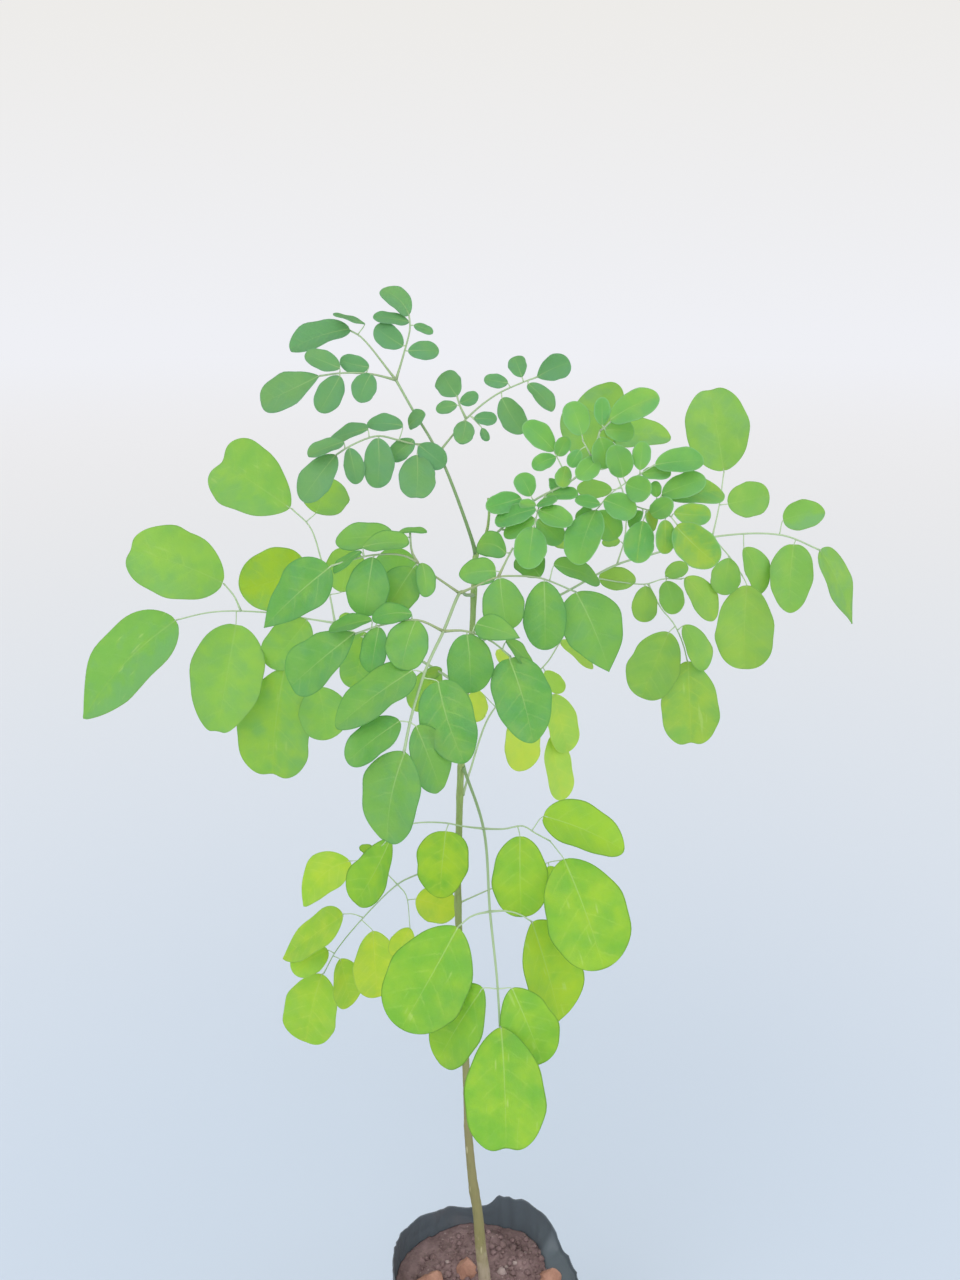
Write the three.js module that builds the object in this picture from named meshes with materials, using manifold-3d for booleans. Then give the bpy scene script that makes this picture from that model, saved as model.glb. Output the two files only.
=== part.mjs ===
// A potted moringa seedling: a soft nursery bag, its soil, a slender stem and nine divided leaves.
// Millimetres, +Z up, -Y towards the viewer. The origin is the centre of the bag's flat base.

import * as THREE from "three";
import { mergeVertices } from "three/addons/utils/BufferGeometryUtils.js";
import Module from "manifold-3d";

const wasm = await Module();
wasm.setup();

// Driving dimensions of the bag
const CLEARANCE = 0.3;
const SLIVER = 0.02;
const BAG_HEIGHT = 120;
const BAG_BASE_RADIUS = 31;
const BAG_BELLY_RADIUS = 35;
const BAG_RIM_RADIUS = 33.5;
const FILM = 1;
const BAG_SIDES = 24;
const BAG_ROWS = [4, 30, 75];
const CREASE = 0.6;
const CREASE_COUNTS = [3, 7];
const FLARE_SHARE = 0.25;
const NECK_SHARE = 0.7;

// Driving dimensions of the soil
const SOIL_TOP = 107.5;
const SOIL_GAP = 0.5;
const SOIL_RINGS = [26, 16, 8];
const BUMPY_RADIUS = 28;
const BUMP_HEIGHT = 1;
const BUMP_WIDTHS = [5, 4, 3];
const MOUND_HEIGHT = 2.2;
const MOUND_RADIUS = 12.2;
const CLOD_ROUGHNESS = 0.14;
const CLOD_RISE = 0.15;

// Driving dimensions of the stem, the stalks and the blades
const ROOT_TIP = 66;
const HOLE_BOTTOM = 65;
const ROOT_TAPER = [0.8, 0.95];
const STEM_SIDES = 8;
const STEM_STEP = 22;
const BLADE_THICKNESS = 0.7;
const STALK_RADII = { rachis: [0.9, 0.65], pinna: [0.75, 0.6] };
const STALK_SIDES = { rachis: 5, pinna: 3 };
const STALK_STEP = { rachis: 18, pinna: 14 };
const SMALL_LEAFLET = 22;
const PETIOLULE_WIDTH = 0.7;
const SHORTEST_PETIOLULE = 2;

// Crumpled rim of the bag: angle in degrees from +X towards +Y, radius, height
const RIM = [
  [0, 33, 111], [28, 32, 112.5], [38, 31.8, 118.5], [66, 32, 122.3], [92, 32.3, 117.5], [102, 32.8, 115.3],
  [118, 33.2, 117.8], [145, 34.4, 119], [170, 35, 121], [205, 34.5, 119], [245, 33.5, 120.5], [280, 34, 118],
  [320, 33.5, 117], [360, 33, 111],
];

// Leaflet proportions, as shares of its length: at least this wide, and no wider when seen flat
const NATURAL_WIDTH = 0.62;
const FULLEST_WIDTH = 0.74;
const SWAY = 0.22;
const BOW = 0.05;
const LEAST_BOW = 0.4;

// Leaflet shape across it, as shares of its half width
const CUP = 0.22;
const CUP_UNDER = 0.25;
const WAVE = 0.07;
const WAVES = 1.5;
const SIDE_BOW = 0.08;
const FACET_SPREAD = 1.04;

// Leaflet forms: how sharply the foot and the tip close, how far along the last row of points lies,
// and how deep the tip is notched
const FORMS = {
  plain: { foot: 0.58, tip: 0.5, end: 0.98, notch: 0 },
  round: { foot: 0.5, tip: 0.46, end: 0.98, notch: 0 },
  ovate: { foot: 0.42, tip: 0.58, end: 0.985, notch: 0 },
  obovate: { foot: 0.78, tip: 0.45, end: 0.975, notch: 0 },
  pointed: { foot: 0.55, tip: 1.05, end: 0.99, notch: 0 },
  cleft: { foot: 0.62, tip: 0.46, end: 0.96, notch: 0.025 },
  notched: { foot: 0.5, tip: 0.46, end: 0.95, notch: 0.035 },
  heart: { foot: 0.64, tip: 0.4, end: 0.94, notch: 0.06 },
};
const FOOT_VARIETY = 0.1;
const FIRST_SHARE = 0.006;
const TIP_REACH = 6;
const NOTCH_WIDTH = 0.5;

// Colour and roughness
const BAG_LOOK = [0x2a3138, 0.45];
const SOIL_LOOK = [0x6a4f4a, 0.95];
const CLOD_LOOK = [0xc07a5c, 0.9];
const STEM_LOOK = [0x8c8c50, 0.6];
const FROND_ROUGHNESS = 0.55;

// Front view in which the plant is measured: 960 by 1280 points, u to the right and v down.
// The eye is 350 in front of the stem and looks 15 degrees down.
const EYE = new THREE.Vector3(-2.6, -350, 451);
const VIEW_CENTRE = { u: 480, v: 640 };
const VIEW_FOCAL = 1150;
const VIEW_TILT = THREE.MathUtils.degToRad(15);

// Stem: u, v, distance towards the viewer, radius
const STEM = [
  [487, 1284, 0, 2.3], [483, 1250, 0, 2.05], [479, 1211, 0, 1.75], [474, 1183, 0, 1.62],
  [467, 1135, 0, 1.4], [466, 1117, 0, 1.35], [462, 1000, 0, 1.2], [458, 905, 0, 1.15],
  [459, 830, 0, 1.1], [461, 765, 0, 1.05], [466, 690, 0, 0.95], [472, 632, 0, 0.85],
  [474, 590, 0, 0.8], [476, 555, 0, 0.75], [486, 534, 0, 0.55], [489, 515, 0, 0.5],
  [488, 498, 0, 0.45],
];

// Lumps of fired clay on the soil: x, y, radius, turn, squash
const CLODS = [
  [-7.4, 7.6, 4.2, 20, 1.15],
  [-21, 1, 5.4, 75, 0.7],
  [23.6, 4.2, 4, 140, 0.8],
  [9, -20, 5, 210, 0.65],
];

// Each frond has stalks and leaflets.
// A stalk is its kind, then its points as u, v and distance towards the viewer.
// A leaflet is the u, v of its base, the u, v of its tip and its width in the front view,
// then, where they are needed, its form and how far its tip leans towards the viewer.
const FRONDS = {
  frond_top: {
    colour: 0x5aa15c,
    stalks: [
      ["rachis", [476, 555, 0], [472, 540, 1], [445, 467, -2], [430, 438, -3], [414, 412, -5],
        [396, 380, -7]],
      ["pinna", [396, 380, -7], [361, 337, -12], [349, 330, -13]],
      ["pinna", [396, 380, -7], [371, 374, -5], [343, 373, -3], [319, 376, -2]],
      ["pinna", [396, 380, -7], [404, 353, -10], [410, 328, -13], [409, 315, -14]],
      ["pinna", [434, 446, -3], [414, 444, 0], [398, 440, 2], [377, 436, 5], [350, 446, 8],
        [336, 455, 9]],
      ["pinna", [438, 452, -3], [452, 436, -6], [466, 419, -8], [494, 396, -12], [521, 383, -15],
        [537, 377, -17]],
      ["pinna", [466, 419, -8], [460, 406, -10], [457, 396, -11]],
    ],
    leaflets: [
      [349, 330, 290, 349, 28, "obovate"],
      [365, 324, 333, 314, 5],
      [319, 376, 262, 403, 34],
      [340, 368, 305, 354, 20],
      [340, 376, 319, 412, 27],
      [369, 367, 340, 360, 19],
      [371, 374, 359, 402, 25],
      [409, 315, 381, 292, 22, "obovate"],
      [409, 322, 373, 317, 12],
      [403, 346, 375, 327, 24],
      [414, 325, 433, 333, 9],
      [408, 351, 439, 351, 19],
      [414, 430, 417, 413, 17],
      [419, 445, 445, 466, 25, "plain", 0],
      [417, 455, 416, 499, 37, "cleft", 10],
      [403, 426, 367, 424, 17],
      [414, 440, 391, 460, 20],
      [378, 438, 377, 488, 31, "round"],
      [368, 429, 329, 440, 15, "plain", -7],
      [349, 448, 357, 484, 21],
      [344, 442, 308, 456, 15, "plain", 4],
      [336, 455, 302, 501, 32],
      [466, 421, 461, 444, 21],
      [457, 396, 443, 373, 27],
      [457, 405, 436, 410, 13],
      [460, 403, 478, 394, 14],
      [474, 418, 497, 419, 14],
      [482, 428, 488, 441, 9],
      [508, 383, 484, 379, 14],
      [502, 398, 524, 433, 26],
      [522, 377, 514, 357, 19],
      [528, 384, 553, 411, 17],
      [537, 377, 570, 362, 26, "obovate"],
    ],
  },
  frond_young: {
    colour: 0x5fae63,
    stalks: [
      ["rachis", [477, 553, 0], [500, 530, 6], [535, 500, 12], [575, 478, 16], [592, 455, 18],
        [600, 431, 20]],
      ["pinna", [545, 494, 13], [539, 507, 15], [536, 519, 17], [534, 527, 18]],
      ["pinna", [572, 480, 15], [562, 467, 13], [557, 457, 12], [554, 451, 11]],
      ["pinna", [500, 530, 6], [530, 536, 9], [560, 535, 12], [596, 510, 16], [609, 495, 18],
        [654, 465, 22]],
      ["pinna", [592, 455, 18], [587, 448, 18], [583, 441, 18]],
      ["pinna", [600, 431, 20], [606, 426, 21], [612, 420, 22]],
      ["pinna", [609, 495, 18], [628, 503, 21], [644, 509, 23], [661, 512, 25], [670, 516, 26],
        [678, 526, 27]],
    ],
    leaflets: [
      [534, 527, 529, 569, 32, "plain", 9],
      [535, 519, 504, 536, 18, "plain", -2],
      [537, 520, 562, 542, 25, "plain", -5],
      [536, 509, 495, 523, 20],
      [539, 510, 572, 524, 22, "plain", 6],
      [521, 498, 486, 508, 22, "plain", 3],
      [536, 505, 519, 504, 11],
      [537, 505, 557, 500, 9, "plain", 4],
      [546, 495, 578, 495, 14, "plain", 4],
      [556, 497, 556, 480, 18, "plain", -9],
      [531, 496, 519, 474, 22],
      [554, 451, 524, 423, 24],
      [556, 457, 532, 467, 17],
      [558, 456, 568, 437, 16],
      [566, 466, 562, 488, 17],
      [596, 510, 578, 565, 36, "plain", 11],
      [598, 511, 616, 539, 28, "plain", -1],
      [600, 504, 575, 500, 13],
      [604, 500, 636, 514, 27, "plain", 5],
      [623, 477, 611, 445, 25],
      [626, 484, 651, 492, 27],
      [640, 470, 643, 441, 19],
      [642, 474, 671, 473, 14],
      [655, 465, 704, 461, 25],
      [592, 510, 576, 530, 18, "plain", -8],
      [582, 435, 570, 402, 27],
      [602, 425, 602, 397, 17],
      [612, 420, 659, 397, 28, "plain", 3],
      [605, 430, 634, 433, 23, "plain", -4],
      [600, 437, 608, 468, 28],
      [580, 450, 570, 467, 15],
      [598, 459, 577, 478, 22],
      [679, 527, 720, 565, 38, "obovate", 5],
      [674, 513, 711, 514, 21],
      [666, 521, 665, 554, 19],
      [643, 521, 637, 563, 31, "plain", 4],
      [646, 511, 655, 529, 13, "plain", -5],
      [643, 512, 629, 526, 14, "plain", -5],
      [653, 512, 672, 500, 19],
      [657, 497, 655, 481, 12],
      [662, 494, 706, 479, 25, "plain", 2],
      [661, 496, 720, 489, 28, "plain", -9],
    ],
  },
  frond_front: {
    colour: 0x559c50,
    stalks: [
      ["rachis", [473, 595, 0], [466, 595, 15], [459, 594, 30], [444, 630, 42], [426, 669, 52],
        [411, 718, 60], [404, 752, 64]],
      ["pinna", [459, 594, 30], [436, 577, 32], [405, 556, 35], [374, 555, 37], [351, 560, 39],
        [331, 566, 40]],
      ["pinna", [418, 565, 34], [412, 552, 34], [410, 532, 34]],
      ["pinna", [444, 630, 42], [417, 620, 44], [382, 625, 46], [355, 634, 47]],
      ["pinna", [444, 630, 42], [465, 631, 41], [491, 641, 40], [511, 657, 40]],
      ["pinna", [459, 594, 30], [474, 587, 27], [498, 577, 25], [516, 576, 24], [540, 578, 22],
        [576, 592, 18]],
      ["pinna", [498, 577, 25], [507, 559, 22], [513, 548, 20]],
    ],
    leaflets: [
      [399, 532, 427, 532, 6],
      [330, 567, 264, 628, 50, "pointed"],
      [394, 537, 336, 540, 28, "plain", -4],
      [363, 547, 409, 543, 20],
      [361, 551, 334, 573, 10, "plain", 4],
      [373, 557, 364, 616, 43],
      [413, 568, 385, 604, 38, "plain", -5],
      [419, 565, 424, 597, 19, "plain", 4],
      [355, 633, 291, 686, 50, "obovate", -3],
      [372, 620, 329, 631, 15],
      [413, 615, 373, 618, 20],
      [379, 627, 371, 673, 27, "plain", 2],
      [416, 620, 402, 670, 43],
      [467, 634, 470, 693, 47, "round", 2],
      [476, 624, 520, 638, 27, "pointed", 5],
      [506, 641, 534, 669, 14, "plain", -4],
      [509, 658, 531, 743, 58, "ovate", 10],
      [413, 670, 336, 728, 38, "plain", 6],
      [440, 681, 465, 763, 50, "ovate"],
      [400, 721, 347, 762, 36, "round"],
      [416, 726, 442, 792, 37, "pointed"],
      [405, 752, 389, 844, 60],
      [496, 572, 459, 576, 27],
      [500, 578, 516, 626, 43, "plain", -5],
      [544, 581, 545, 650, 44, "plain", 2],
      [576, 592, 609, 672, 62, "pointed"],
      [554, 565, 599, 581, 20, "plain", -7],
      [540, 577, 520, 556, 30, "plain", -13],
      [505, 553, 478, 548, 22],
    ],
  },
  frond_left: {
    colour: 0x86bf4c,
    stalks: [
      ["rachis", [465, 690, 0], [440, 672, -8], [400, 650, -16], [370, 640, -20], [335, 623, -25]],
      ["pinna", [335, 623, -25], [309, 619, -27], [260, 612, -30], [213, 612, -32], [176, 620, -34]],
      ["pinna", [242, 611, -31], [234, 596, -33], [224, 584, -34]],
      ["pinna", [335, 623, -25], [330, 596, -28], [321, 559, -31], [310, 527, -33], [292, 509, -35]],
      ["pinna", [335, 623, -25], [320, 645, -28], [305, 668, -31]],
      ["pinna", [370, 640, -20], [378, 620, -22], [385, 600, -24]],
    ],
    leaflets: [
      [290, 508, 223, 461, 72, "heart"],
      [316, 513, 325, 481, 54, "round"],
      [224, 584, 130, 552, 62, "notched"],
      [176, 620, 84, 719, 62, "pointed"],
      [236, 624, 222, 737, 72, "ovate", 12],
      [307, 620, 268, 666, 45],
      [307, 567, 240, 590, 62, "round"],
      [285, 668, 273, 778, 75, "cleft", -4],
      [318, 687, 326, 740, 50],
      [345, 612, 345, 548, 40],
      [385, 600, 400, 548, 45],
      [339, 620, 352, 616, 10],
      [365, 632, 352, 688, 40],
      [440, 668, 412, 709, 30],
      [442, 669, 426, 676, 12],
    ],
  },
  frond_right: {
    colour: 0x86bf4c,
    stalks: [
      ["rachis", [470, 650, 0], [520, 615, -8], [564, 593, -14], [616, 565, -20], [653, 554, -24],
        [713, 537, -30],
        [781, 535, -34], [820, 550, -36]],
      ["pinna", [713, 537, -30], [719, 507, -33], [724, 472, -36]],
      ["pinna", [713, 537, -30], [729, 556, -28], [742, 575, -28]],
      ["pinna", [592, 579, -17], [620, 582, -19], [646, 584, -21], [663, 579, -22], [681, 579, -23]],
      ["pinna", [646, 584, -21], [661, 608, -20], [674, 624, -20], [683, 644, -20], [687, 660, -20]],
      ["pinna", [616, 565, -20], [625, 536, -26], [625, 500, -30], [610, 460, -34], [600, 440, -36]],
      ["pinna", [592, 579, -17], [585, 565, -20], [572, 552, -22]],
    ],
    leaflets: [
      [724, 471, 710, 386, 62, "cleft"],
      [728, 504, 769, 494, 36, "round"],
      [788, 523, 824, 512, 28, "ovate"],
      [794, 544, 790, 613, 42, "ovate"],
      [820, 550, 852, 624, 26, "pointed"],
      [744, 548, 762, 593, 25],
      [729, 558, 723, 595, 30],
      [747, 585, 745, 669, 58, "round"],
      [685, 578, 716, 618, 28],
      [665, 575, 688, 566, 17],
      [646, 586, 644, 622, 26],
      [666, 581, 675, 614, 25],
      [636, 580, 599, 577, 24],
      [669, 632, 642, 698, 52, "round"],
      [688, 661, 691, 746, 58, "cleft"],
      [684, 625, 705, 670, 25],
      [598, 470, 606, 384, 50, "obovate", -16],
      [600, 470, 565, 410, 40, "plain", 4],
      [610, 450, 671, 425, 32],
      [612, 490, 577, 488, 19],
      [566, 548, 548, 539, 10],
      [620, 541, 602, 543, 11],
    ],
  },
  frond_low_front: {
    colour: 0x93cb45,
    stalks: [
      ["rachis", [463, 766, 0], [484, 831, 22], [490, 912, 38], [497, 979, 48], [500, 1027, 52]],
      ["pinna", [484, 831, 22], [461, 826, 20], [446, 823, 18], [416, 823, 15], [398, 828, 13]],
      ["pinna", [484, 831, 22], [504, 829, 24], [523, 826, 25], [535, 833, 27], [550, 841, 29]],
      ["pinna", [490, 912, 38], [472, 916, 39], [458, 927, 40]],
      ["pinna", [490, 912, 38], [507, 911, 38], [521, 915, 37], [532, 922, 36]],
    ],
    leaflets: [
      [446, 831, 440, 898, 53, "ovate"],
      [385, 838, 355, 902, 42, "plain", 3],
      [372, 853, 364, 838, 10, "plain", -6],
      [543, 816, 624, 851, 46, "ovate"],
      [520, 836, 521, 917, 56, "round"],
      [564, 859, 596, 971, 82, "plain", 14],
      [458, 927, 406, 1034, 84, "plain", 12],
      [532, 922, 560, 1020, 62, "obovate", -6],
      [484, 988, 440, 1070, 54, "obovate", -4],
      [513, 988, 546, 1066, 50, "plain", 2],
      [501, 1027, 505, 1148, 81, "cleft", 20],
    ],
  },
  frond_low_left: {
    colour: 0x9cc93f,
    stalks: [
      ["rachis", [458, 860, 0], [416, 875, -12], [398, 884, -18], [363, 918, -31],
        [336, 951, -40], [324, 973, -45]],
      ["pinna", [398, 884, -18], [406, 895, -17], [410, 928, -14]],
      ["pinna", [398, 884, -18], [380, 868, -22], [360, 861, -25], [350, 861, -27]],
      ["pinna", [363, 918, -31], [353, 914, -33], [343, 914, -35]],
    ],
    leaflets: [
      [410, 928, 396, 958, 26],
      [416, 899, 457, 912, 37],
      [350, 861, 303, 906, 40, "pointed"],
      [343, 914, 283, 960, 32, "pointed"],
      [373, 931, 378, 997, 46],
      [328, 950, 292, 969, 28],
      [340, 959, 350, 1006, 32],
      [322, 974, 308, 1044, 54, "round"],
    ],
  },
  frond_low_back: {
    colour: 0xb4d53c,
    stalks: [
      ["rachis", [463, 795, 0], [470, 771, -9], [490, 715, -20], [515, 690, -30], [545, 665, -40],
        [560, 642, -50]],
      ["pinna", [532, 676, -36], [546, 700, -36], [551, 736, -36]],
    ],
    leaflets: [
      [520, 715, 522, 771, 37, "round"],
      [545, 671, 563, 692, 18],
      [553, 694, 568, 752, 32],
      [551, 736, 563, 800, 28],
      [560, 642, 593, 667, 14],
      [478, 690, 472, 722, 25],
      [508, 668, 497, 650, 12],
    ],
  },
  frond_hidden: {
    colour: 0x93cb45,
    stalks: [["rachis", [457, 904, 0], [486, 891, -14], [520, 877, -28], [547, 863, -40], [562, 860, -48]]],
    leaflets: [
      [562, 860, 586, 890, 26, "plain", 8],
      [560, 864, 588, 935, 44, "plain", -12],
      [549, 866, 561, 905, 24, "plain", 8],
      [540, 870, 528, 900, 20],
    ],
  },
};

// Repeatable draw between 0 and 1
function draw(seed, index) {
  const wide = Math.sin(seed * 12.9898 + index * 78.233) * 43758.5453;
  return wide - Math.floor(wide);
}

// Ray from the eye through a point of the front view, with a y that is its depth for one unit
function ray(u, v) {
  const right = u - VIEW_CENTRE.u;
  const up = VIEW_CENTRE.v - v;
  const depth = VIEW_FOCAL * Math.cos(VIEW_TILT) + up * Math.sin(VIEW_TILT);
  const rise = up * Math.cos(VIEW_TILT) - VIEW_FOCAL * Math.sin(VIEW_TILT);
  return new THREE.Vector3(right, depth, rise);
}

// Point seen at u, v that stands `near` in front of the plane through the stem
function seen(u, v, near) {
  const direction = ray(u, v);
  return direction.multiplyScalar((-EYE.y - near) / direction.y).add(EYE);
}

// Millimetres that one unit of the front view covers there
function scaleAt(u, v, near) {
  return (-EYE.y - near) / ray(u, v).y;
}

// Where a point shows in the front view
function frontView(point) {
  const { x, y, z } = point.clone().sub(EYE);
  const depth = y * Math.cos(VIEW_TILT) - z * Math.sin(VIEW_TILT);
  const rise = y * Math.sin(VIEW_TILT) + z * Math.cos(VIEW_TILT);
  const scale = VIEW_FOCAL / depth;
  return new THREE.Vector3(VIEW_CENTRE.u + x * scale, VIEW_CENTRE.v - rise * scale, 0);
}

// Closed solid from a geometry, with its shared vertices merged
function solid(geometry) {
  geometry.deleteAttribute("normal");
  geometry.deleteAttribute("uv");
  const welded = mergeVertices(geometry);
  const mesh = new wasm.Mesh({
    numProp: 3,
    vertProperties: new Float32Array(welded.attributes.position.array),
    triVerts: new Uint32Array(welded.index.array),
  });
  return new wasm.Manifold(mesh);
}

// Geometry of a solid, without the slivers that joining and cutting leave
function geometryOf(body) {
  const mesh = body.asOriginal().simplify(SLIVER).getMesh();
  const geometry = new THREE.BufferGeometry();
  geometry.setAttribute("position", new THREE.BufferAttribute(mesh.vertProperties, 3));
  geometry.setIndex(new THREE.BufferAttribute(mesh.triVerts, 1));
  geometry.computeVertexNormals();
  return geometry;
}

// Named mesh with its own colour and roughness
function part(name, body, [color, roughness]) {
  const material = new THREE.MeshStandardMaterial({ color, roughness, metalness: 0 });
  const mesh = new THREE.Mesh(geometryOf(body), material);
  mesh.name = name;
  return mesh;
}

// Smooth route of a stalk through its points, with the centre of each of its rings
function route(points, step) {
  const curve = new THREE.CatmullRomCurve3(points, false, "centripetal");
  const steps = Math.max(points.length - 1, Math.round(curve.getLength() / step));
  return { curve, steps, centres: curve.getSpacedPoints(steps) };
}

// Tube along a route, with radii that are spread evenly along the route's own points
function tube({ curve, steps, centres }, radii, sides) {
  const corners = Array.from({ length: sides }, (_, side) => {
    const angle = (side * 2 * Math.PI) / sides;
    return new THREE.Vector2(Math.cos(angle), Math.sin(angle));
  });
  const section = new THREE.Shape(corners);
  const geometry = new THREE.ExtrudeGeometry(section, { steps, extrudePath: curve, bevelEnabled: false });
  const ringRadii = centres.map((_, ring) => {
    const place = curve.getUtoTmapping(ring / steps) * (radii.length - 1);
    const before = Math.min(Math.floor(place), radii.length - 2);
    return THREE.MathUtils.lerp(radii[before], radii[before + 1], place - before);
  });
  taper(geometry, centres, ringRadii);
  return geometry;
}

// Draw each vertex of a unit tube in or out to its ring's radius
function taper(geometry, centres, ringRadii) {
  const position = geometry.attributes.position;
  const vertex = new THREE.Vector3();
  for (let index = 0; index < position.count; index += 1) {
    vertex.fromBufferAttribute(position, index);
    const distances = centres.map((centre) => centre.distanceToSquared(vertex));
    const ring = distances.indexOf(Math.min(...distances));
    vertex.sub(centres[ring]).multiplyScalar(ringRadii[ring]).add(centres[ring]);
    position.setXYZ(index, vertex.x, vertex.y, vertex.z);
  }
}

// Nearest place to u, v of the front view on the centre lines of a frond's stalks
function attachment(routes, u, v) {
  const target = new THREE.Vector3(u, v, 0);
  let best = null;
  let bestGap = Infinity;
  for (const { centres } of routes) {
    for (let index = 1; index < centres.length; index += 1) {
      const line = new THREE.Line3(frontView(centres[index - 1]), frontView(centres[index]));
      const share = line.closestPointToPointParameter(target, true);
      const gap = line.at(share, new THREE.Vector3()).distanceTo(target);
      if (gap < bestGap) {
        best = centres[index - 1].clone().lerp(centres[index], share);
        bestGap = gap;
      }
    }
  }
  return best;
}

// Routes of a frond's stalks, where each one but the first starts on the stalk that carries it
function stalkRoutes(stalks) {
  const routes = [];
  for (const [kind, ...path] of stalks) {
    const points = path.map((place) => seen(...place));
    if (routes.length > 0) {
      points[0] = attachment(routes, path[0][0], path[0][1]);
    }
    routes.push({ kind, ...route(points, STALK_STEP[kind]) });
  }
  return routes;
}

// Axes of a leaflet: from its base to its tip, across it, and out of its upper face.
// A leaflet seen narrow is turned about its midrib, with its upper face towards the sky.
function leafletFrame(leaflet, near, swayDraw) {
  const [u0, v0, u1, v1, seenWidth, form = "plain", givenLean] = leaflet;
  const base = seen(u0, v0, near);
  const flatLength = base.distanceTo(seen(u1, v1, near));
  const flatWidth = seenWidth * scaleAt(u0, v0, near);
  const hidden = Math.sqrt(Math.max(0, (flatWidth / FULLEST_WIDTH) ** 2 - flatLength ** 2));
  const sway = (swayDraw - 0.5) * 2 * SWAY * flatLength;
  const lean = givenLean ?? hidden * Math.sign(v1 - v0) + sway;
  const along = seen(u1, v1, near + lean).sub(base);
  const length = along.length();
  along.normalize();
  const width = Math.max(flatWidth, NATURAL_WIDTH * length);
  const sight = EYE.clone().sub(base).normalize();
  const flatAcross = along.clone().cross(sight).normalize();
  const flatUp = flatAcross.clone().cross(along);
  const turn = -Math.sign(flatAcross.z) * Math.acos(Math.min(1, flatWidth / width));
  const across = flatAcross.clone().multiplyScalar(Math.cos(turn)).addScaledVector(flatUp, Math.sin(turn));
  const up = across.clone().cross(along);
  return { base, along, across, up, length, width, form };
}

// Half width of a leaflet along its midrib, as a share of its greatest half width
function outline(share, foot, tip) {
  const widest = foot / (foot + tip);
  const greatest = widest ** foot * (1 - widest) ** tip;
  return (share ** foot * (1 - share) ** tip) / greatest;
}

// Point of a leaflet's middle surface: share runs from base to tip, side from -1 to 1 across it
function leafletPoint(frame, draws, share, side) {
  const { base, along, across, up, length, width } = frame;
  const { foot, tip, end, notch } = FORMS[frame.form];
  const variedFoot = foot + FOOT_VARIETY * (draws.belly - 0.5);
  const half = (width / 2) * FACET_SPREAD * outline(share, variedFoot, tip);
  const rounding = (1 - end) * (1 - Math.abs(side) ** (1 / tip));
  const dip = notch * Math.exp(-((side / NOTCH_WIDTH) ** 2));
  const reach = length * (share + (rounding - dip) * (share / end) ** TIP_REACH);
  const aside = SIDE_BOW * (draws.aside - 0.5) * length * 4 * share * (1 - share);
  const bow = BOW * (LEAST_BOW + draws.bow) * length * 4 * share * (1 - share);
  const cup = CUP * (draws.cup - CUP_UNDER) * half * side * side;
  const swing = Math.sin(2 * Math.PI * (WAVES * share + draws.wave));
  const wave = WAVE * half * swing * side * Math.abs(side);
  return base.clone().addScaledVector(along, reach).addScaledVector(across, half * side + aside)
    .addScaledVector(up, bow + cup + wave);
}

// Rows of points on a leaflet's middle surface: the start of its little stalk, then the blade to its tip.
// A row has two points on a small leaflet and three on a large one.
function leafletRows(start, frame, draws) {
  const small = frame.length < SMALL_LEAFLET;
  const sides = small ? [-1, 1] : [-1, 0, 1];
  const strips = small ? 3 : 4;
  const half = PETIOLULE_WIDTH / 2;
  const rows = [sides.map((side) => start.clone().addScaledVector(frame.across, side * half))];
  const first = start.distanceTo(frame.base) < SHORTEST_PETIOLULE ? 1 : 0;
  const { end } = FORMS[frame.form];
  for (let station = first; station <= strips; station += 1) {
    const progress = (1 - Math.cos((Math.PI * station) / strips)) / 2;
    const share = THREE.MathUtils.lerp(FIRST_SHARE, end, progress);
    rows.push(sides.map((side) => leafletPoint(frame, draws, share, side)));
  }
  return rows;
}

// Thin closed solid on both sides of the middle surface that the rows give
function bladeSolid(rows, up) {
  const columns = rows[0].length;
  const points = rows.flat().flatMap((point) => [
    point.clone().addScaledVector(up, BLADE_THICKNESS / 2),
    point.clone().addScaledVector(up, -BLADE_THICKNESS / 2),
  ]);
  const top = (row, column) => (row * columns + column) * 2;
  const under = (row, column) => top(row, column) + 1;
  const triangles = [];
  const quad = (a, b, c, d) => triangles.push(a, b, c, a, c, d);
  const last = rows.length - 1;
  const edge = columns - 1;
  for (let row = 0; row < last; row += 1) {
    for (let column = 0; column < edge; column += 1) {
      quad(top(row, column), top(row, column + 1), top(row + 1, column + 1), top(row + 1, column));
      quad(under(row + 1, column + 1), under(row, column + 1), under(row, column), under(row + 1, column));
    }
    quad(top(row, 0), top(row + 1, 0), under(row + 1, 0), under(row, 0));
    quad(under(row, edge), under(row + 1, edge), top(row + 1, edge), top(row, edge));
  }
  for (let column = 0; column < edge; column += 1) {
    quad(top(0, column), under(0, column), under(0, column + 1), top(0, column + 1));
    quad(top(last, column), top(last, column + 1), under(last, column + 1), under(last, column));
  }
  const geometry = new THREE.BufferGeometry().setFromPoints(points);
  geometry.setIndex(triangles);
  return solid(geometry);
}

// One leaflet with the little stalk that holds it, which starts inside the stalk that it grows from
function leafletSolid(leaflet, routes, seed, index) {
  const start = attachment(routes, leaflet[0], leaflet[1]);
  const frame = leafletFrame(leaflet, -start.y, draw(seed, index));
  const draws = {
    bow: draw(seed, index + 0.25),
    cup: draw(seed, index + 0.5),
    wave: draw(seed, index + 0.75),
    belly: draw(seed, index + 0.6),
    aside: draw(seed, index + 0.4),
  };
  return bladeSolid(leafletRows(start, frame, draws), frame.up);
}

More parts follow.
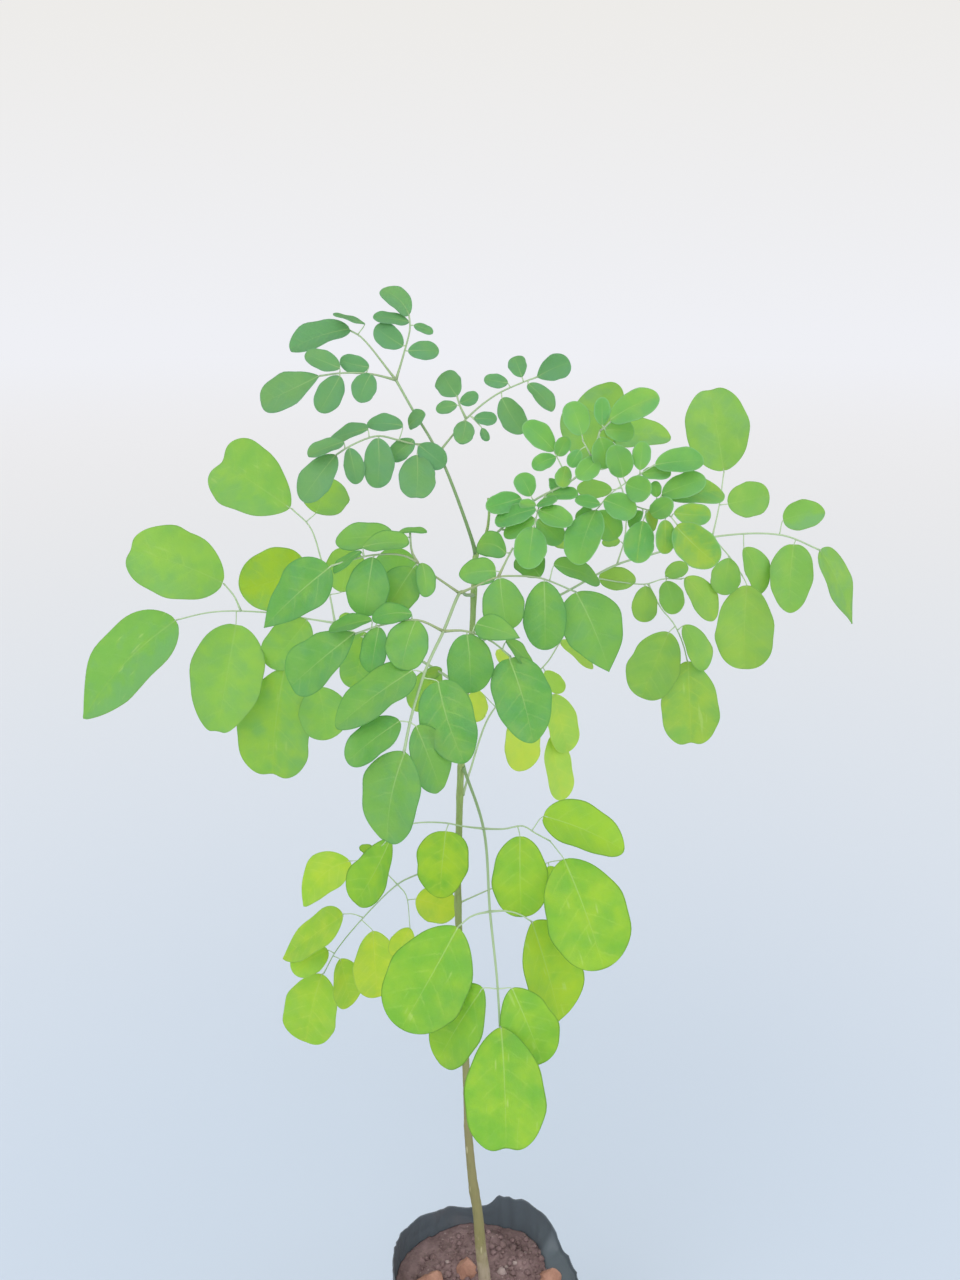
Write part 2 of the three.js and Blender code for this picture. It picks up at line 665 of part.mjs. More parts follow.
// All of a frond in one body, cut clear of the stem and without loose scraps
function frondSolid(frond, seed, stemPocket) {
  const routes = stalkRoutes(frond.stalks);
  const stalks = routes.map((path) => solid(tube(path, STALK_RADII[path.kind], STALK_SIDES[path.kind])));
  const leaflets = frond.leaflets.map((leaflet, index) => leafletSolid(leaflet, routes, seed, index));
  const joined = [...stalks, ...leaflets].reduce((body, next) => body.add(next));
  const bodies = joined.subtract(stemPocket).decompose();
  return bodies.reduce((largest, next) => (next.volume() > largest.volume() ? next : largest));
}

// Stem from its tap root in the soil to the growing tip, wider by `extra` all round
function stemSolid(extra, bottom) {
  const shown = STEM.map(([u, v, near]) => seen(u, v, near));
  const radii = STEM.map((row) => row[3] + extra);
  const foot = shown[0];
  const middle = (bottom + foot.z) / 2;
  const buried = [bottom, middle].map((z) => new THREE.Vector3(foot.x, 0, z));
  const buriedRadii = ROOT_TAPER.map((share) => radii[0] * share);
  const path = route([...buried, ...shown], STEM_STEP);
  return solid(tube(path, [...buriedRadii, ...radii], STEM_SIDES));
}

// Bag radius by height
function bagRadius(z) {
  const share = z / BAG_HEIGHT;
  const side = THREE.MathUtils.lerp(BAG_BASE_RADIUS, BAG_RIM_RADIUS, Math.min(1, share / FLARE_SHARE));
  return side + (BAG_BELLY_RADIUS - BAG_RIM_RADIUS) * Math.sin(Math.PI * share);
}

// Radius and height of the rim at an angle, eased between the rim's points
function rimAt(angle) {
  const degrees = THREE.MathUtils.euclideanModulo(THREE.MathUtils.radToDeg(angle), 360);
  const next = RIM.findIndex(([end]) => end > degrees);
  const [start, radius0, height0] = RIM[next - 1];
  const [end, radius1, height1] = RIM[next];
  const share = THREE.MathUtils.smoothstep(degrees, start, end);
  return [THREE.MathUtils.lerp(radius0, radius1, share), THREE.MathUtils.lerp(height0, height1, share)];
}

// Point of the round bag, moved by its soft creases and its crumpled rim
function slumped(point) {
  const { smoothstep } = THREE.MathUtils;
  const radius = Math.hypot(point.x, point.y);
  if (radius === 0) {
    return point;
  }
  const angle = Math.atan2(point.y, point.x);
  const [rimRadius, rimHeight] = rimAt(angle);
  const [broad, fine] = CREASE_COUNTS.map((count) => Math.sin(count * angle + 1));
  const crease = CREASE * smoothstep(point.z, 0, BAG_HEIGHT) * (broad + 0.5 * fine);
  const neck = (rimRadius - BAG_RIM_RADIUS) * smoothstep(point.z, BAG_HEIGHT * NECK_SHARE, BAG_HEIGHT);
  const outwards = 1 + ((crease + neck) * Math.min(1, radius / BAG_BASE_RADIUS)) / radius;
  const lift = (rimHeight - BAG_HEIGHT) * smoothstep(point.z, SOIL_TOP, BAG_HEIGHT);
  return new THREE.Vector3(point.x * outwards, point.y * outwards, point.z + lift);
}

// Each vertex of a geometry moved by a rule
function moved(geometry, rule) {
  const position = geometry.attributes.position;
  for (let index = 0; index < position.count; index += 1) {
    const point = rule(new THREE.Vector3().fromBufferAttribute(position, index), index);
    position.setXYZ(index, point.x, point.y, point.z);
  }
  return geometry;
}

// Round geometry from rows of radius and height
function latheUp(profile) {
  const points = profile.map(([radius, z]) => new THREE.Vector2(radius, z));
  return new THREE.LatheGeometry(points, BAG_SIDES).rotateX(Math.PI / 2);
}

// Bag with a flat base and an open top
function bagSolid() {
  const outer = [[0, 0], [BAG_BASE_RADIUS, 0]];
  const inner = [[0, FILM], [BAG_BASE_RADIUS - FILM, FILM]];
  for (const z of [...BAG_ROWS, SOIL_TOP, BAG_HEIGHT]) {
    outer.push([bagRadius(z), z]);
    inner.push([bagRadius(z) - FILM, z]);
  }
  return solid(moved(latheUp([...outer, ...inner.reverse()]), slumped));
}

// Point of the soil's flat top, raised by its bumps and by the mound at the stem
function bumpy(point) {
  const radius = Math.hypot(point.x, point.y);
  if (point.z < SOIL_TOP - CLEARANCE || radius > BUMPY_RADIUS) {
    return point;
  }
  const [long, middle, short] = BUMP_WIDTHS;
  const ripple = 0.5 * Math.sin((point.x + point.y) / short);
  const bump = Math.sin(point.x / long + 1) * Math.cos(point.y / middle) + ripple;
  const mound = Math.exp(-((radius / MOUND_RADIUS) ** 2));
  return point.setZ(SOIL_TOP + BUMP_HEIGHT * bump + MOUND_HEIGHT * mound);
}

// Soil that fills the bag up to a little below its rim
function soilSolid() {
  const bottom = FILM + CLEARANCE;
  const wall = FILM + SOIL_GAP;
  const profile = [[0, bottom], [BAG_BASE_RADIUS - wall, bottom]];
  for (const z of [...BAG_ROWS, SOIL_TOP]) {
    profile.push([bagRadius(z) - wall, z]);
  }
  for (const radius of [...SOIL_RINGS, 0]) {
    profile.push([radius, SOIL_TOP]);
  }
  return solid(moved(moved(latheUp(profile), slumped), bumpy));
}

// Rough lump, wider by `extra` all round
function clodSolid([x, y, radius, turn, squash], extra) {
  const geometry = new THREE.IcosahedronGeometry(1, 0);
  geometry.deleteAttribute("normal");
  geometry.deleteAttribute("uv");
  const lump = moved(mergeVertices(geometry), (point, index) => {
    const uneven = 1 + CLOD_ROUGHNESS * (2 * draw(turn, index) - 1);
    return point.multiplyScalar((radius + extra) * uneven);
  });
  lump.scale(1, 1, squash);
  lump.rotateZ(THREE.MathUtils.degToRad(turn));
  lump.translate(x, y, SOIL_TOP + radius * CLOD_RISE);
  return solid(lump);
}

const plant = new THREE.Group();
const stemPocket = stemSolid(CLEARANCE, HOLE_BOTTOM);
let soil = soilSolid().subtract(stemPocket);
CLODS.forEach((clod, index) => {
  soil = soil.subtract(clodSolid(clod, 2 * CLEARANCE));
  plant.add(part(`clod_${index + 1}`, clodSolid(clod, 0), CLOD_LOOK));
});
plant.add(part("bag", bagSolid(), BAG_LOOK));
plant.add(part("soil", soil, SOIL_LOOK));
plant.add(part("stem", stemSolid(0, ROOT_TIP), STEM_LOOK));
Object.entries(FRONDS).forEach(([name, frond], order) => {
  const body = frondSolid(frond, order + 1, stemPocket);
  plant.add(part(name, body, [frond.colour, FROND_ROUGHNESS]));
});

export default plant;
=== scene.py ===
"""Young moringa plant in a black nursery bag, dressed for a plain studio picture."""

import math
from functools import partialmethod

import bpy
from bpy.props import FloatProperty, FloatVectorProperty, IntProperty, PointerProperty
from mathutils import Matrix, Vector, noise


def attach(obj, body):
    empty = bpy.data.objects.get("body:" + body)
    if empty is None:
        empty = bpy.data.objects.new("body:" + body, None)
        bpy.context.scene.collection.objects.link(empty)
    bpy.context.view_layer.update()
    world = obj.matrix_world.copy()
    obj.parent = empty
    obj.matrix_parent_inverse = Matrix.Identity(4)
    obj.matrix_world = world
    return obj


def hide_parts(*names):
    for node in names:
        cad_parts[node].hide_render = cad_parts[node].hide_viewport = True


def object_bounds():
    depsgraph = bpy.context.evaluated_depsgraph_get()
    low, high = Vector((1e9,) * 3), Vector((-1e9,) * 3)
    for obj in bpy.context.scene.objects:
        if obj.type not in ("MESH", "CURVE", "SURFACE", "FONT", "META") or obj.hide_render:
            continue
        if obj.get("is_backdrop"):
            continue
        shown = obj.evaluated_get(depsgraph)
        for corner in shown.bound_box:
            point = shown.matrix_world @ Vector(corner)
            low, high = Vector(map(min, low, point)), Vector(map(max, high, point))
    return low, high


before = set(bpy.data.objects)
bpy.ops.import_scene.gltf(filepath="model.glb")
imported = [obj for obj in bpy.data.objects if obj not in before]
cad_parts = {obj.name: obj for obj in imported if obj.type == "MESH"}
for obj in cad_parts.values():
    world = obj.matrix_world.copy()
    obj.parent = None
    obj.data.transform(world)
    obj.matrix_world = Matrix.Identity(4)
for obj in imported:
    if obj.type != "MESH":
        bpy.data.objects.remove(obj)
CAD_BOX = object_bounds()

bl_info = {
    "name": "Potted Moringa",
    "version": (1, 0, 0),
    "blender": (4, 5, 0),
    "location": "3D View > Sidebar > Moringa",
    "description": "Builds a young moringa plant in its nursery bag, with veined leaflets, soil and film",
    "category": "Add Mesh",
}

# Lengths below are in millimetres
MM = 0.001

# Bag: its film's thickness, its creases and how many go round it, and the shares of its height over
# which its foot flares and from which its neck follows the rim
FILM = 0.35
CREASE = 0.6
CREASE_COUNTS = (3, 7)
FLARE_SHARE = 0.25
NECK_SHARE = 0.7
# How far below the soil the film starts to hang free, and how far below the rim it is quite free
FREE_BELOW_SOIL = 12
FREE_BELOW_RIM = 4
# How high the base's folds reach, how far the film is drawn in, and its ragged edge
BASE_FOLDS_TOP = 24
FILM_PULL = 0.35
RAGGED_TOP = 5
RAGGED_RISE = 0.7
RAGGED_SPREAD = 9
# Folds of the film: how close they stand round it, how tall they are and where their noise starts
FOLDS = {"slow": (2.4, 46, 3), "upright": (7, 60, 0), "flat": (1.6, 7, 9)}
CRINKLES = (16, 4)
# How far each kind stands out where the film is pressed on the soil, hangs loose, or meets the base
PRESSED_FOLDS = {"slow": 0.28, "upright": 0.16, "crinkle": 0.05}
LOOSE_FOLDS = {"upright": 0.55, "flat": 0.35, "crinkle": 0.12}
BASE_FOLDS = {"upright": 0.5, "flat": 0.5}
# Fold that presses the film inwards at the soil, at the right and behind
TUCK_ANGLE = 16
TUCK_SPREAD = 32
TUCK_RISE = 6.5
# The film's rings crowd towards the rim
BAG_STEPS = 200
BAG_HEIGHTS = 72
BAG_CROWDING = 1.25
BASE_RINGS = (0.8, 0.55, 0.3)
# Crumpled rim of the bag: angle in degrees from +X towards +Y, radius, height
RIM = (
    (0, 33, 111), (28, 32, 112.5), (38, 31.8, 118.5), (52, 31.9, 120.6), (64, 32, 122.4),
    (80, 32.1, 121.8), (92, 32.3, 116), (102, 32.8, 115.3), (118, 33.2, 117.8), (145, 34.4, 119),
    (170, 35, 121), (205, 34.5, 119), (245, 33.5, 120.5), (280, 34, 118), (320, 33.5, 117),
    (360, 33, 111),
)

# Soil: its bumps, its mound round the stem, its gap to the film and the heights of its side's rings
BUMPY_RADIUS = 28
BUMPS_FADE = 3
BUMP_HEIGHT = 1
BUMP_WIDTHS = (5, 4, 3)
MOUND_RADIUS = 12.2
# Crumbly relief: its height, its width and the falloff, spacing and number of its noise's layers
CRUMBLE_RISE = 0.55
CRUMBLE_WIDTH = 4
CRUMBLE_LAYERS = (0.8, 2.1, 5)
SOIL_GAP = 0.1
SOIL_RINGS = 64
SOIL_STEPS = 200
SOIL_WALLS = (90, 60, 30, 8, FILM + SOIL_GAP)
# Crumbs and small pale stones on the soil, each stone as x, y, radius
CRUMBS = 520
CRUMB_SIZES = (0.35, 1.5)
CRUMBS_TO_RIM = 4.5
CRUMB_RISE = 0.25
CRUMB_FLATNESS = 0.8
CRUMB_ROUGHNESS = 0.45
CRUMB_PITCH = 1.3
CRUMB_GRID = (6, 9)
STONES = ((5.6, 6.4, 1.9), (14.8, 17.0, 0.8), (10.7, 11.6, 0.9), (7.4, 10.6, 0.7), (-15, 12, 0.8))

# Lumps of fired clay: x, y, radius, turn, squash
CLODS = (
    (-7.4, 7.6, 4.2, 20, 1.15),
    (-21, 1, 5.4, 75, 0.7),
    (23.6, 4.2, 4, 140, 0.8),
    (9, -20, 5, 210, 0.65),
)
CLOD_RISE = 0.15
CLOD_CUTS = 14
CLOD_GRID = (40, 60)
# Broken faces of a lump: how far out they lie, how blunt its corners are, and its bumps, each as height
# and closeness
CLOD_FACE = 0.8428
CLOD_BLUNTNESS = 0.72
CLOD_BUMPS = ((0.08, 2.2), (0.03, 7))

# Front view in which the plant is measured: 960 by 1280 points, u to the right and v down.
# The eye is 350 in front of the stem and looks 15 degrees down.
EYE = Vector((-2.6, -350, 451))
VIEW_CENTRE = (480, 640)
VIEW_FOCAL = 1150
VIEW_TILT = math.radians(15)

# Stem: u, v, distance towards the viewer, radius
STEM = (
    (485, 1284, 0, 2.3), (481, 1250, 0, 2.05), (477.5, 1211, 0, 1.8), (473, 1183, 0, 1.66),
    (468.5, 1135, 0, 1.42), (467.8, 1117, 0, 1.38), (466.5, 1080, 0, 1.3), (463, 1000, 0, 1.2),
    (458, 905, 0, 1.15), (459, 830, 0, 1.1), (461, 765, 0, 1.05), (466, 690, 0, 0.95),
    (472, 632, 0, 0.9), (474, 590, 0, 0.92), (476, 555, 0, 0.8), (486, 534, 0, 0.48),
    (489, 515, 0, 0.4), (488, 498, 0, 0.28),
)
STEM_RING = 28
STEM_STEP = 1.2
ROOT_TIP = 66
ROOT_TAPER = (0.8, 0.95)
BARK_STRETCH = 0.35
BARK_GRAIN = 1.2
BARK_DEPTH = 0.06
# Height at which the bark's colours end
BARK_TOP = 450
# Where a leaf stalk leaves the stem, and where a fallen one has left its scar, the stem swells: share
# of its radius, half height and places down the front view
SWELLINGS = ((0.14, 8, (555, 595, 650, 690, 766, 795, 860, 904)), (0.12, 6, (968, 1040, 1126, 1190)))

# Leaflet forms: how sharply the foot and the tip close, how far along the last row of points lies,
# and how deep the tip is notched
FORMS = {
    "plain": (0.58, 0.5, 0.98, 0),
    "round": (0.5, 0.46, 0.98, 0),
    "ovate": (0.42, 0.58, 0.985, 0),
    "obovate": (0.78, 0.45, 0.975, 0),
    "pointed": (0.55, 1.05, 0.99, 0),
    "cleft": (0.62, 0.46, 0.955, 0.042),
    "notched": (0.5, 0.46, 0.95, 0.035),
    "heart": (0.64, 0.4, 0.94, 0.06),
    "blunt": (0.6, 0.66, 0.94, 0.025),
    "wedge": (0.58, 0.55, 0.93, 0.045),
    "tongue": (0.5, 0.7, 0.93, 0.05),
    "taper": (0.55, 0.85, 0.975, 0),
}
# Form, lean and side bow of a leaflet that gives none
USUAL_LEAFLET = ("plain", None, None)
FOOT_VARIETY = 0.1
FIRST_SHARE = 0.006
TIP_REACH = 6
NOTCH_WIDTH = 0.5

# Leaflet proportions, as shares of its length: at least this wide, and no wider when seen flat
NATURAL_WIDTH = 0.62
FULLEST_WIDTH = 0.74
SWAY = 0.22
BOW = 0.05
LEAST_BOW = 0.4
SIDE_BOW = 0.08

# Leaflet shape across it, as shares of its half width
CUP = 0.22
CUP_UNDER = 0.25
WAVE = 0.07
WAVES = 1.5
EDGE_RIPPLE = 0.025
EDGE_RIPPLES = 2.6
RIPPLE_SHIFT = 0.3
EDGE_DENT = 0.035
DENT_SHARE = 0.08
DENT_PLACES = (0.3, 0.8)
FOLD = 0.1
QUILT = 0.05

# Fine shape of a leaflet
LEAF_EDGE = 0.16
MIDRIB_HEIGHT = 0.2
MIDRIB_WIDTH = 0.35
MIDRIB_FADE = 0.8
UPPER_MIDRIB = 0.25
LATERAL_PAIRS = 6
LATERAL_RISE = 0.55
# Random spread of the tilt that steers a leaflet's painted sky reflection
SLOPE_VARIETY = 0.8
LARGE_LEAFLET = 22
LEAF_GRID = {"small": (18, 10), "large": (28, 18)}
# Draws that make each leaflet differ, and their places after its own number
LEAFLET_DRAWS = {"sway": 0, "tone": 0.15, "bow": 0.25, "dent": 0.33, "aside": 0.4, "cup": 0.5,
                 "belly": 0.6, "wave": 0.75}

# Stalks: radii and ages at the foot and the end of each kind, its share of brown and its sides
STALKS = {
    "rachis": {"radii": (0.48, 0.3), "ages": (1.0, 0.6), "brown": 0.3, "sides": 12},
    "pinna": {"radii": (0.28, 0.2), "ages": (0.6, 0.3), "brown": 1.0, "sides": 10},
}
STALK_TAPER = 0.8
STALK_STEP = 1.6
# Swellings at a stalk's foot and end: share of its radius and how many steps they take to fade
FOOT_SWELLING = (0.45, 1.6)
END_SWELLING = (0.25, 1.2)
# Stalk of a leaflet: its radii, how far it runs under the leaflet, its swollen foot and thin end
PETIOLULE_RADII = (0.19, 0.16)
PETIOLULE_JOIN = 0.09
PETIOLULE_FOOT = 1.35
PETIOLULE_END = 0.4
PETIOLULE_SIDES = 8
PETIOLULE_STEP = 0.9

# Each frond has stalks, of which the first is the rachis, and leaflets.
# A stalk's points are u, v and distance towards the viewer.
# A leaflet is the u, v of its base, the u, v of its tip and its width in the front view,
# then, where they are needed, its form, how far its tip leans towards the viewer and to which side
# it bows, from 0 to 1.
FRONDS = {
    "frond_top": {
        "stalks": [
            [(476, 555, 0), (472, 540, 1), (445, 467, -2), (430, 438, -3), (414, 412, -5), (396, 380, -7)],
            [(396, 380, -7), (361, 337, -12), (349, 330, -13)],
            [(396, 380, -7), (371, 374, -5), (343, 373, -3), (319, 376, -2)],
            [(396, 380, -7), (404, 353, -10), (410, 328, -13), (409, 315, -14)],
            [(434, 446, -3), (414, 444, 0), (398, 440, 2), (377, 436, 5), (350, 446, 8), (336, 455, 9)],
            [(438, 452, -3), (452, 436, -6), (466, 419, -8), (494, 396, -12), (521, 383, -15),
             (537, 377, -17)],
            [(466, 419, -8), (460, 406, -10), (457, 396, -11)],
        ],
        "leaflets": [
            (350, 329, 290, 350, 25, "round", None, 1.1), (365, 324, 333, 314, 5),
            (319, 376, 261, 403, 34, "obovate"), (340, 368, 305, 354, 20), (340, 376, 319, 412, 27),
            (369, 367, 340, 360, 19), (371, 374, 359, 402, 25), (409, 315, 381, 290, 21, "round", None, 2),
            (409, 322, 373, 317, 12), (403, 346, 375, 327, 24), (414, 325, 433, 333, 9),
            (408, 351, 439, 351, 19), (409, 426, 425, 414, 15, "round", 6),
            (419, 445, 445, 466, 25, "plain", 0), (417, 455, 416, 499, 37, "cleft", 10),
            (403, 426, 367, 424, 17), (414, 440, 391, 460, 20), (378, 438, 377, 488, 31, "round"),
            (368, 429, 329, 440, 15, "plain", -7), (349, 448, 357, 484, 21),
            (344, 442, 308, 456, 15, "plain", 4), (336, 455, 302, 501, 32), (466, 421, 461, 444, 21),
            (457, 396, 443, 373, 27), (457, 405, 436, 410, 13), (460, 403, 478, 394, 14),
            (474, 418, 497, 419, 14), (482, 428, 488, 441, 9), (508, 383, 484, 379, 14),
            (502, 398, 524, 433, 26), (522, 377, 514, 357, 19), (528, 384, 553, 411, 17),
            (537, 377, 570, 362, 26, "obovate"),
        ],
    },
    "frond_young": {
        "stalks": [
            [(477, 553, 0), (500, 530, 6), (535, 500, 12), (575, 478, 16), (592, 455, 18), (600, 431, 20)],
            [(545, 494, 13), (539, 507, 15), (536, 519, 17), (534, 527, 18)],
            [(572, 480, 15), (562, 467, 13), (557, 457, 12), (554, 451, 11)],
            [(500, 530, 6), (530, 536, 9), (560, 535, 12), (596, 510, 16), (609, 495, 18), (654, 465, 22)],
            [(592, 455, 18), (587, 448, 18), (583, 441, 18)],
            [(600, 431, 20), (606, 426, 21), (612, 420, 22)],
            [(609, 495, 18), (628, 503, 16.5), (644, 509, 19), (661, 512, 22), (670, 516, 24.5),
             (678, 526, 26)],
        ],
        "leaflets": [
            (533, 527, 527, 569, 33, "plain", 9), (535, 519, 504, 536, 18, "plain", -2),
            (537, 520, 562, 542, 25, "plain", -5), (536, 509, 495, 523, 20),
            (539, 510, 572, 524, 22, "plain", 6), (521, 498, 486, 508, 22, "plain", 3),
            (536, 505, 519, 504, 11), (537, 505, 557, 500, 9, "plain", 4),
            (546, 495, 578, 495, 14, "plain", 4), (556, 497, 556, 480, 18, "plain", -9),
            (531, 496, 519, 474, 22), (554, 451, 524, 423, 24), (556, 457, 532, 467, 17),
            (558, 456, 568, 437, 16), (566, 466, 562, 488, 17), (596, 510, 578, 565, 36, "plain", 11),
            (598, 511, 616, 539, 28, "plain", -1), (600, 504, 575, 500, 13),
            (604, 500, 636, 514, 27, "plain", 5), (623, 477, 613, 445, 27, "plain", 5, 1),
            (626, 484, 651, 492, 27), (640, 470, 643, 441, 19), (642, 474, 671, 473, 14),
            (655, 465, 704, 461, 25), (592, 510, 576, 530, 18, "plain", -8), (582, 435, 570, 402, 27),
            (602, 425, 602, 397, 17), (610, 420, 659, 396, 29, "round", 3),
            (605, 430, 634, 433, 23, "plain", -4), (600, 437, 608, 468, 28, "plain", -2),
            (580, 450, 570, 467, 15), (598, 459, 577, 478, 22), (676, 526, 717, 564, 39, "round", 5),
            (674, 513, 711, 515, 23), (665, 520, 665, 554, 20, "round"),
            (643, 521, 637, 563, 31, "plain", 4), (646, 511, 655, 529, 13, "plain", -5),
            (643, 512, 629, 526, 14, "plain", -5), (651, 514, 672, 500, 21, "round", 6),
            (657, 497, 655, 481, 12), (662, 494, 706, 479, 25, "plain", 2),
            (661, 497, 721, 490, 29, "obovate", -9),
        ],
    },
    "frond_front": {
        "stalks": [
            [(473, 595, 0), (466, 595, 15), (459, 594, 30), (444, 630, 42), (426, 669, 52), (411, 718, 60),
             (404, 752, 64)],
            [(459, 594, 30), (436, 577, 32), (405, 556, 35), (374, 555, 37), (351, 560, 39),
             (331, 566, 40)],
            [(418, 565, 34), (412, 552, 34), (410, 532, 34)],
            [(444, 630, 42), (417, 620, 44), (382, 625, 46), (355, 634, 47)],
            [(444, 630, 42), (465, 631, 41), (491, 641, 40), (511, 657, 40)],
            [(459, 594, 30), (474, 587, 27), (498, 577, 25), (516, 576, 24), (540, 578, 22),
             (576, 592, 18)],
            [(498, 577, 25), (507, 559, 22), (513, 548, 20)],
        ],
        "leaflets": [
            (399, 532, 427, 532, 6), (330, 567, 264, 628, 50, "pointed"),
            (394, 537, 336, 540, 28, "plain", -4), (363, 547, 409, 543, 20),
            (361, 551, 334, 573, 10, "plain", 4), (373, 557, 364, 616, 43, "plain", 3),
            (413, 568, 388, 608, 42, "round", -1), (422, 563, 426, 597, 20, "round", 4),
            (355, 633, 291, 686, 50, "obovate", -3), (372, 620, 329, 631, 15),
            (412, 614, 372, 619, 21, "plain", None, 1.5), (379, 627, 371, 673, 27, "plain", 2),
            (416, 620, 402, 670, 43), (467, 634, 470, 693, 47, "round", 2),
            (476, 624, 520, 638, 27, "pointed", 5), (506, 641, 534, 669, 14, "plain", -4),
            (509, 658, 533, 743, 58, "ovate", 10, 0.15), (413, 670, 336, 728, 42, "ovate", 6),
            (438, 681, 465, 763, 56, "ovate", 2, 0.95), (400, 721, 347, 762, 36, "round"),
            (416, 726, 441, 792, 42, "blunt", None, 0.6), (405, 752, 388, 844, 61, "blunt", None, 0.9),
            (496, 571, 459, 575, 28, "ovate", None, 1), (500, 578, 507, 630, 43, "plain", 2, 0.65),
            (544, 581, 545, 650, 44, "plain", 2), (576, 592, 609, 672, 62, "pointed"),
            (554, 565, 599, 581, 20, "plain", -7), (540, 577, 520, 556, 30, "plain", -13),
            (506, 553, 477, 546, 27, "round", None, 2.4),
        ],
    },
    "frond_left": {
        "stalks": [
            [(465, 690, 0), (440, 672, -8), (400, 650, -16), (370, 640, -20), (335, 623, -25)],
            [(335, 623, -25), (309, 619, -27), (260, 612, -30), (213, 612, -32), (176, 620, -34)],
            [(242, 611, -31), (234, 596, -33), (224, 584, -34)],
            [(335, 623, -25), (330, 596, -28), (321, 559, -31), (310, 527, -33), (292, 509, -35)],
            [(335, 623, -25), (320, 645, -28), (305, 668, -31)],
            [(370, 640, -20), (378, 620, -22), (385, 600, -24)],
        ],
        "leaflets": [
            (290, 508, 218, 459, 72, "heart"), (316, 513, 331, 478, 52, "round", -14),
            (223, 583, 127, 549, 70, "notched", None, 0.9), (176, 620, 84, 719, 64, "taper", None, 0.8),
            (236, 624, 216, 737, 72, "tongue", 12), (307, 620, 268, 666, 45),
            (307, 567, 240, 590, 62, "round"), (285, 668, 273, 778, 75, "cleft", -4),
            (318, 687, 326, 740, 50), (342, 592, 346, 548, 40), (385, 600, 400, 548, 45),
            (339, 620, 352, 616, 10), (365, 632, 352, 688, 40), (440, 668, 412, 709, 30),
            (442, 669, 426, 676, 12),
        ],
    },
    "frond_right": {
        "stalks": [
            [(470, 650, 0), (520, 615, -8), (564, 593, -14), (616, 565, -20), (653, 554, -24),
             (713, 537, -30), (781, 535, -34), (820, 550, -36)],
            [(713, 537, -30), (719, 507, -33), (724, 472, -36)],
            [(713, 537, -30), (729, 556, -28), (742, 575, -28)],
            [(592, 579, -17), (620, 582, -19), (646, 584, -21), (663, 579, -22), (681, 579, -23)],
            [(646, 584, -21), (661, 608, -20), (674, 624, -20), (683, 644, -20), (687, 660, -20)],
            [(616, 565, -20), (625, 536, -26), (625, 500, -30), (610, 460, -34), (600, 440, -36)],
            [(592, 579, -17), (585, 565, -20), (572, 552, -22)],
        ],
        "leaflets": [
            (724, 471, 710, 386, 62, "wedge"), (728, 504, 769, 494, 36, "round"),
            (783, 520, 825, 512, 30, "ovate"), (794, 544, 790, 613, 42, "ovate"),
            (820, 550, 852, 624, 26, "pointed"), (744, 548, 762, 593, 25), (729, 558, 723, 595, 30),
            (747, 585, 745, 669, 58, "round"), (685, 578, 716, 618, 28), (665, 575, 688, 566, 17),
            (646, 586, 644, 622, 26), (666, 581, 675, 614, 25), (636, 580, 599, 577, 24),
            (669, 632, 642, 698, 52, "round"), (688, 661, 691, 746, 58, "cleft"), (684, 625, 705, 670, 25),
            (598, 470, 602, 384, 50, "obovate", -16), (600, 470, 565, 410, 40, "plain", 4),
            (612, 438, 671, 438, 29, "ovate", None, -0.6), (612, 490, 577, 488, 19),
            (566, 548, 548, 539, 10), (620, 541, 602, 543, 11),
        ],
    },
    "frond_low_front": {
        "stalks": [
            [(463, 766, 0), (484, 831, 22), (490, 912, 38), (497, 979, 48), (500, 1027, 52)],
            [(484, 831, 22), (461, 826, 20), (446, 823, 18), (416, 823, 15), (398, 828, 13)],
            [(484, 831, 22), (504, 829, 24), (523, 826, 25), (535, 833, 27), (550, 841, 29)],
            [(490, 912, 38), (472, 916, 39), (458, 927, 40)],
            [(490, 912, 38), (507, 911, 38), (521, 915, 37), (532, 922, 36)],
        ],
        "leaflets": [
            (446, 831, 440, 898, 53, "ovate"), (391, 838, 355, 903, 40, "obovate", 3, -0.2),
            (372, 856, 362, 845, 12, "plain", -6), (543, 816, 624, 851, 46, "ovate"),
            (520, 836, 521, 917, 56, "round"), (564, 859, 604, 969, 82, "plain", 14, 0.27),
            (458, 927, 401, 1029, 84, "plain", 12, 0.45), (532, 922, 560, 1020, 64, "plain", -6),
            (483, 988, 438, 1061, 56, "plain", -4, 0.4), (512, 988, 543, 1063, 58, "plain", 2, 0.4),
            (501, 1027, 506, 1154, 80, "cleft", 20, 0.36),
        ],
    },
    "frond_low_left": {
        "stalks": [
            [(458, 860, 0), (416, 875, -12), (398, 884, -18), (363, 918, -31), (336, 951, -40),
             (324, 973, -45)],
            [(398, 884, -18), (406, 895, -17), (410, 928, -14)],
            [(398, 884, -18), (380, 868, -22), (360, 861, -25), (350, 861, -27)],
            [(363, 918, -31), (353, 914, -33), (343, 914, -35)],
        ],
        "leaflets": [
            (410, 928, 396, 958, 26), (416, 899, 457, 912, 37),
            (350, 861, 304, 907, 40, "taper", None, 2.3), (343, 916, 283, 959, 34, "taper", None, 0.6),
            (373, 931, 378, 997, 46), (328, 950, 292, 971, 31), (340, 959, 350, 1006, 32),
            (322, 974, 306, 1042, 56, "round", None, 0.7),
        ],
    },
    "frond_low_back": {
        "stalks": [
            [(463, 795, 0), (470, 771, -9), (490, 715, -20), (515, 690, -30), (545, 665, -40),
             (560, 642, -50)],
            [(532, 676, -36), (546, 700, -36), (551, 736, -36)],
        ],
        "leaflets": [
            (520, 715, 522, 771, 37, "round"), (545, 671, 563, 692, 18), (553, 694, 568, 752, 32),
            (551, 736, 563, 800, 28), (560, 642, 593, 667, 14), (478, 690, 472, 722, 25),
            (508, 668, 497, 650, 12),
        ],
    },
    "frond_hidden": {
        "stalks": [
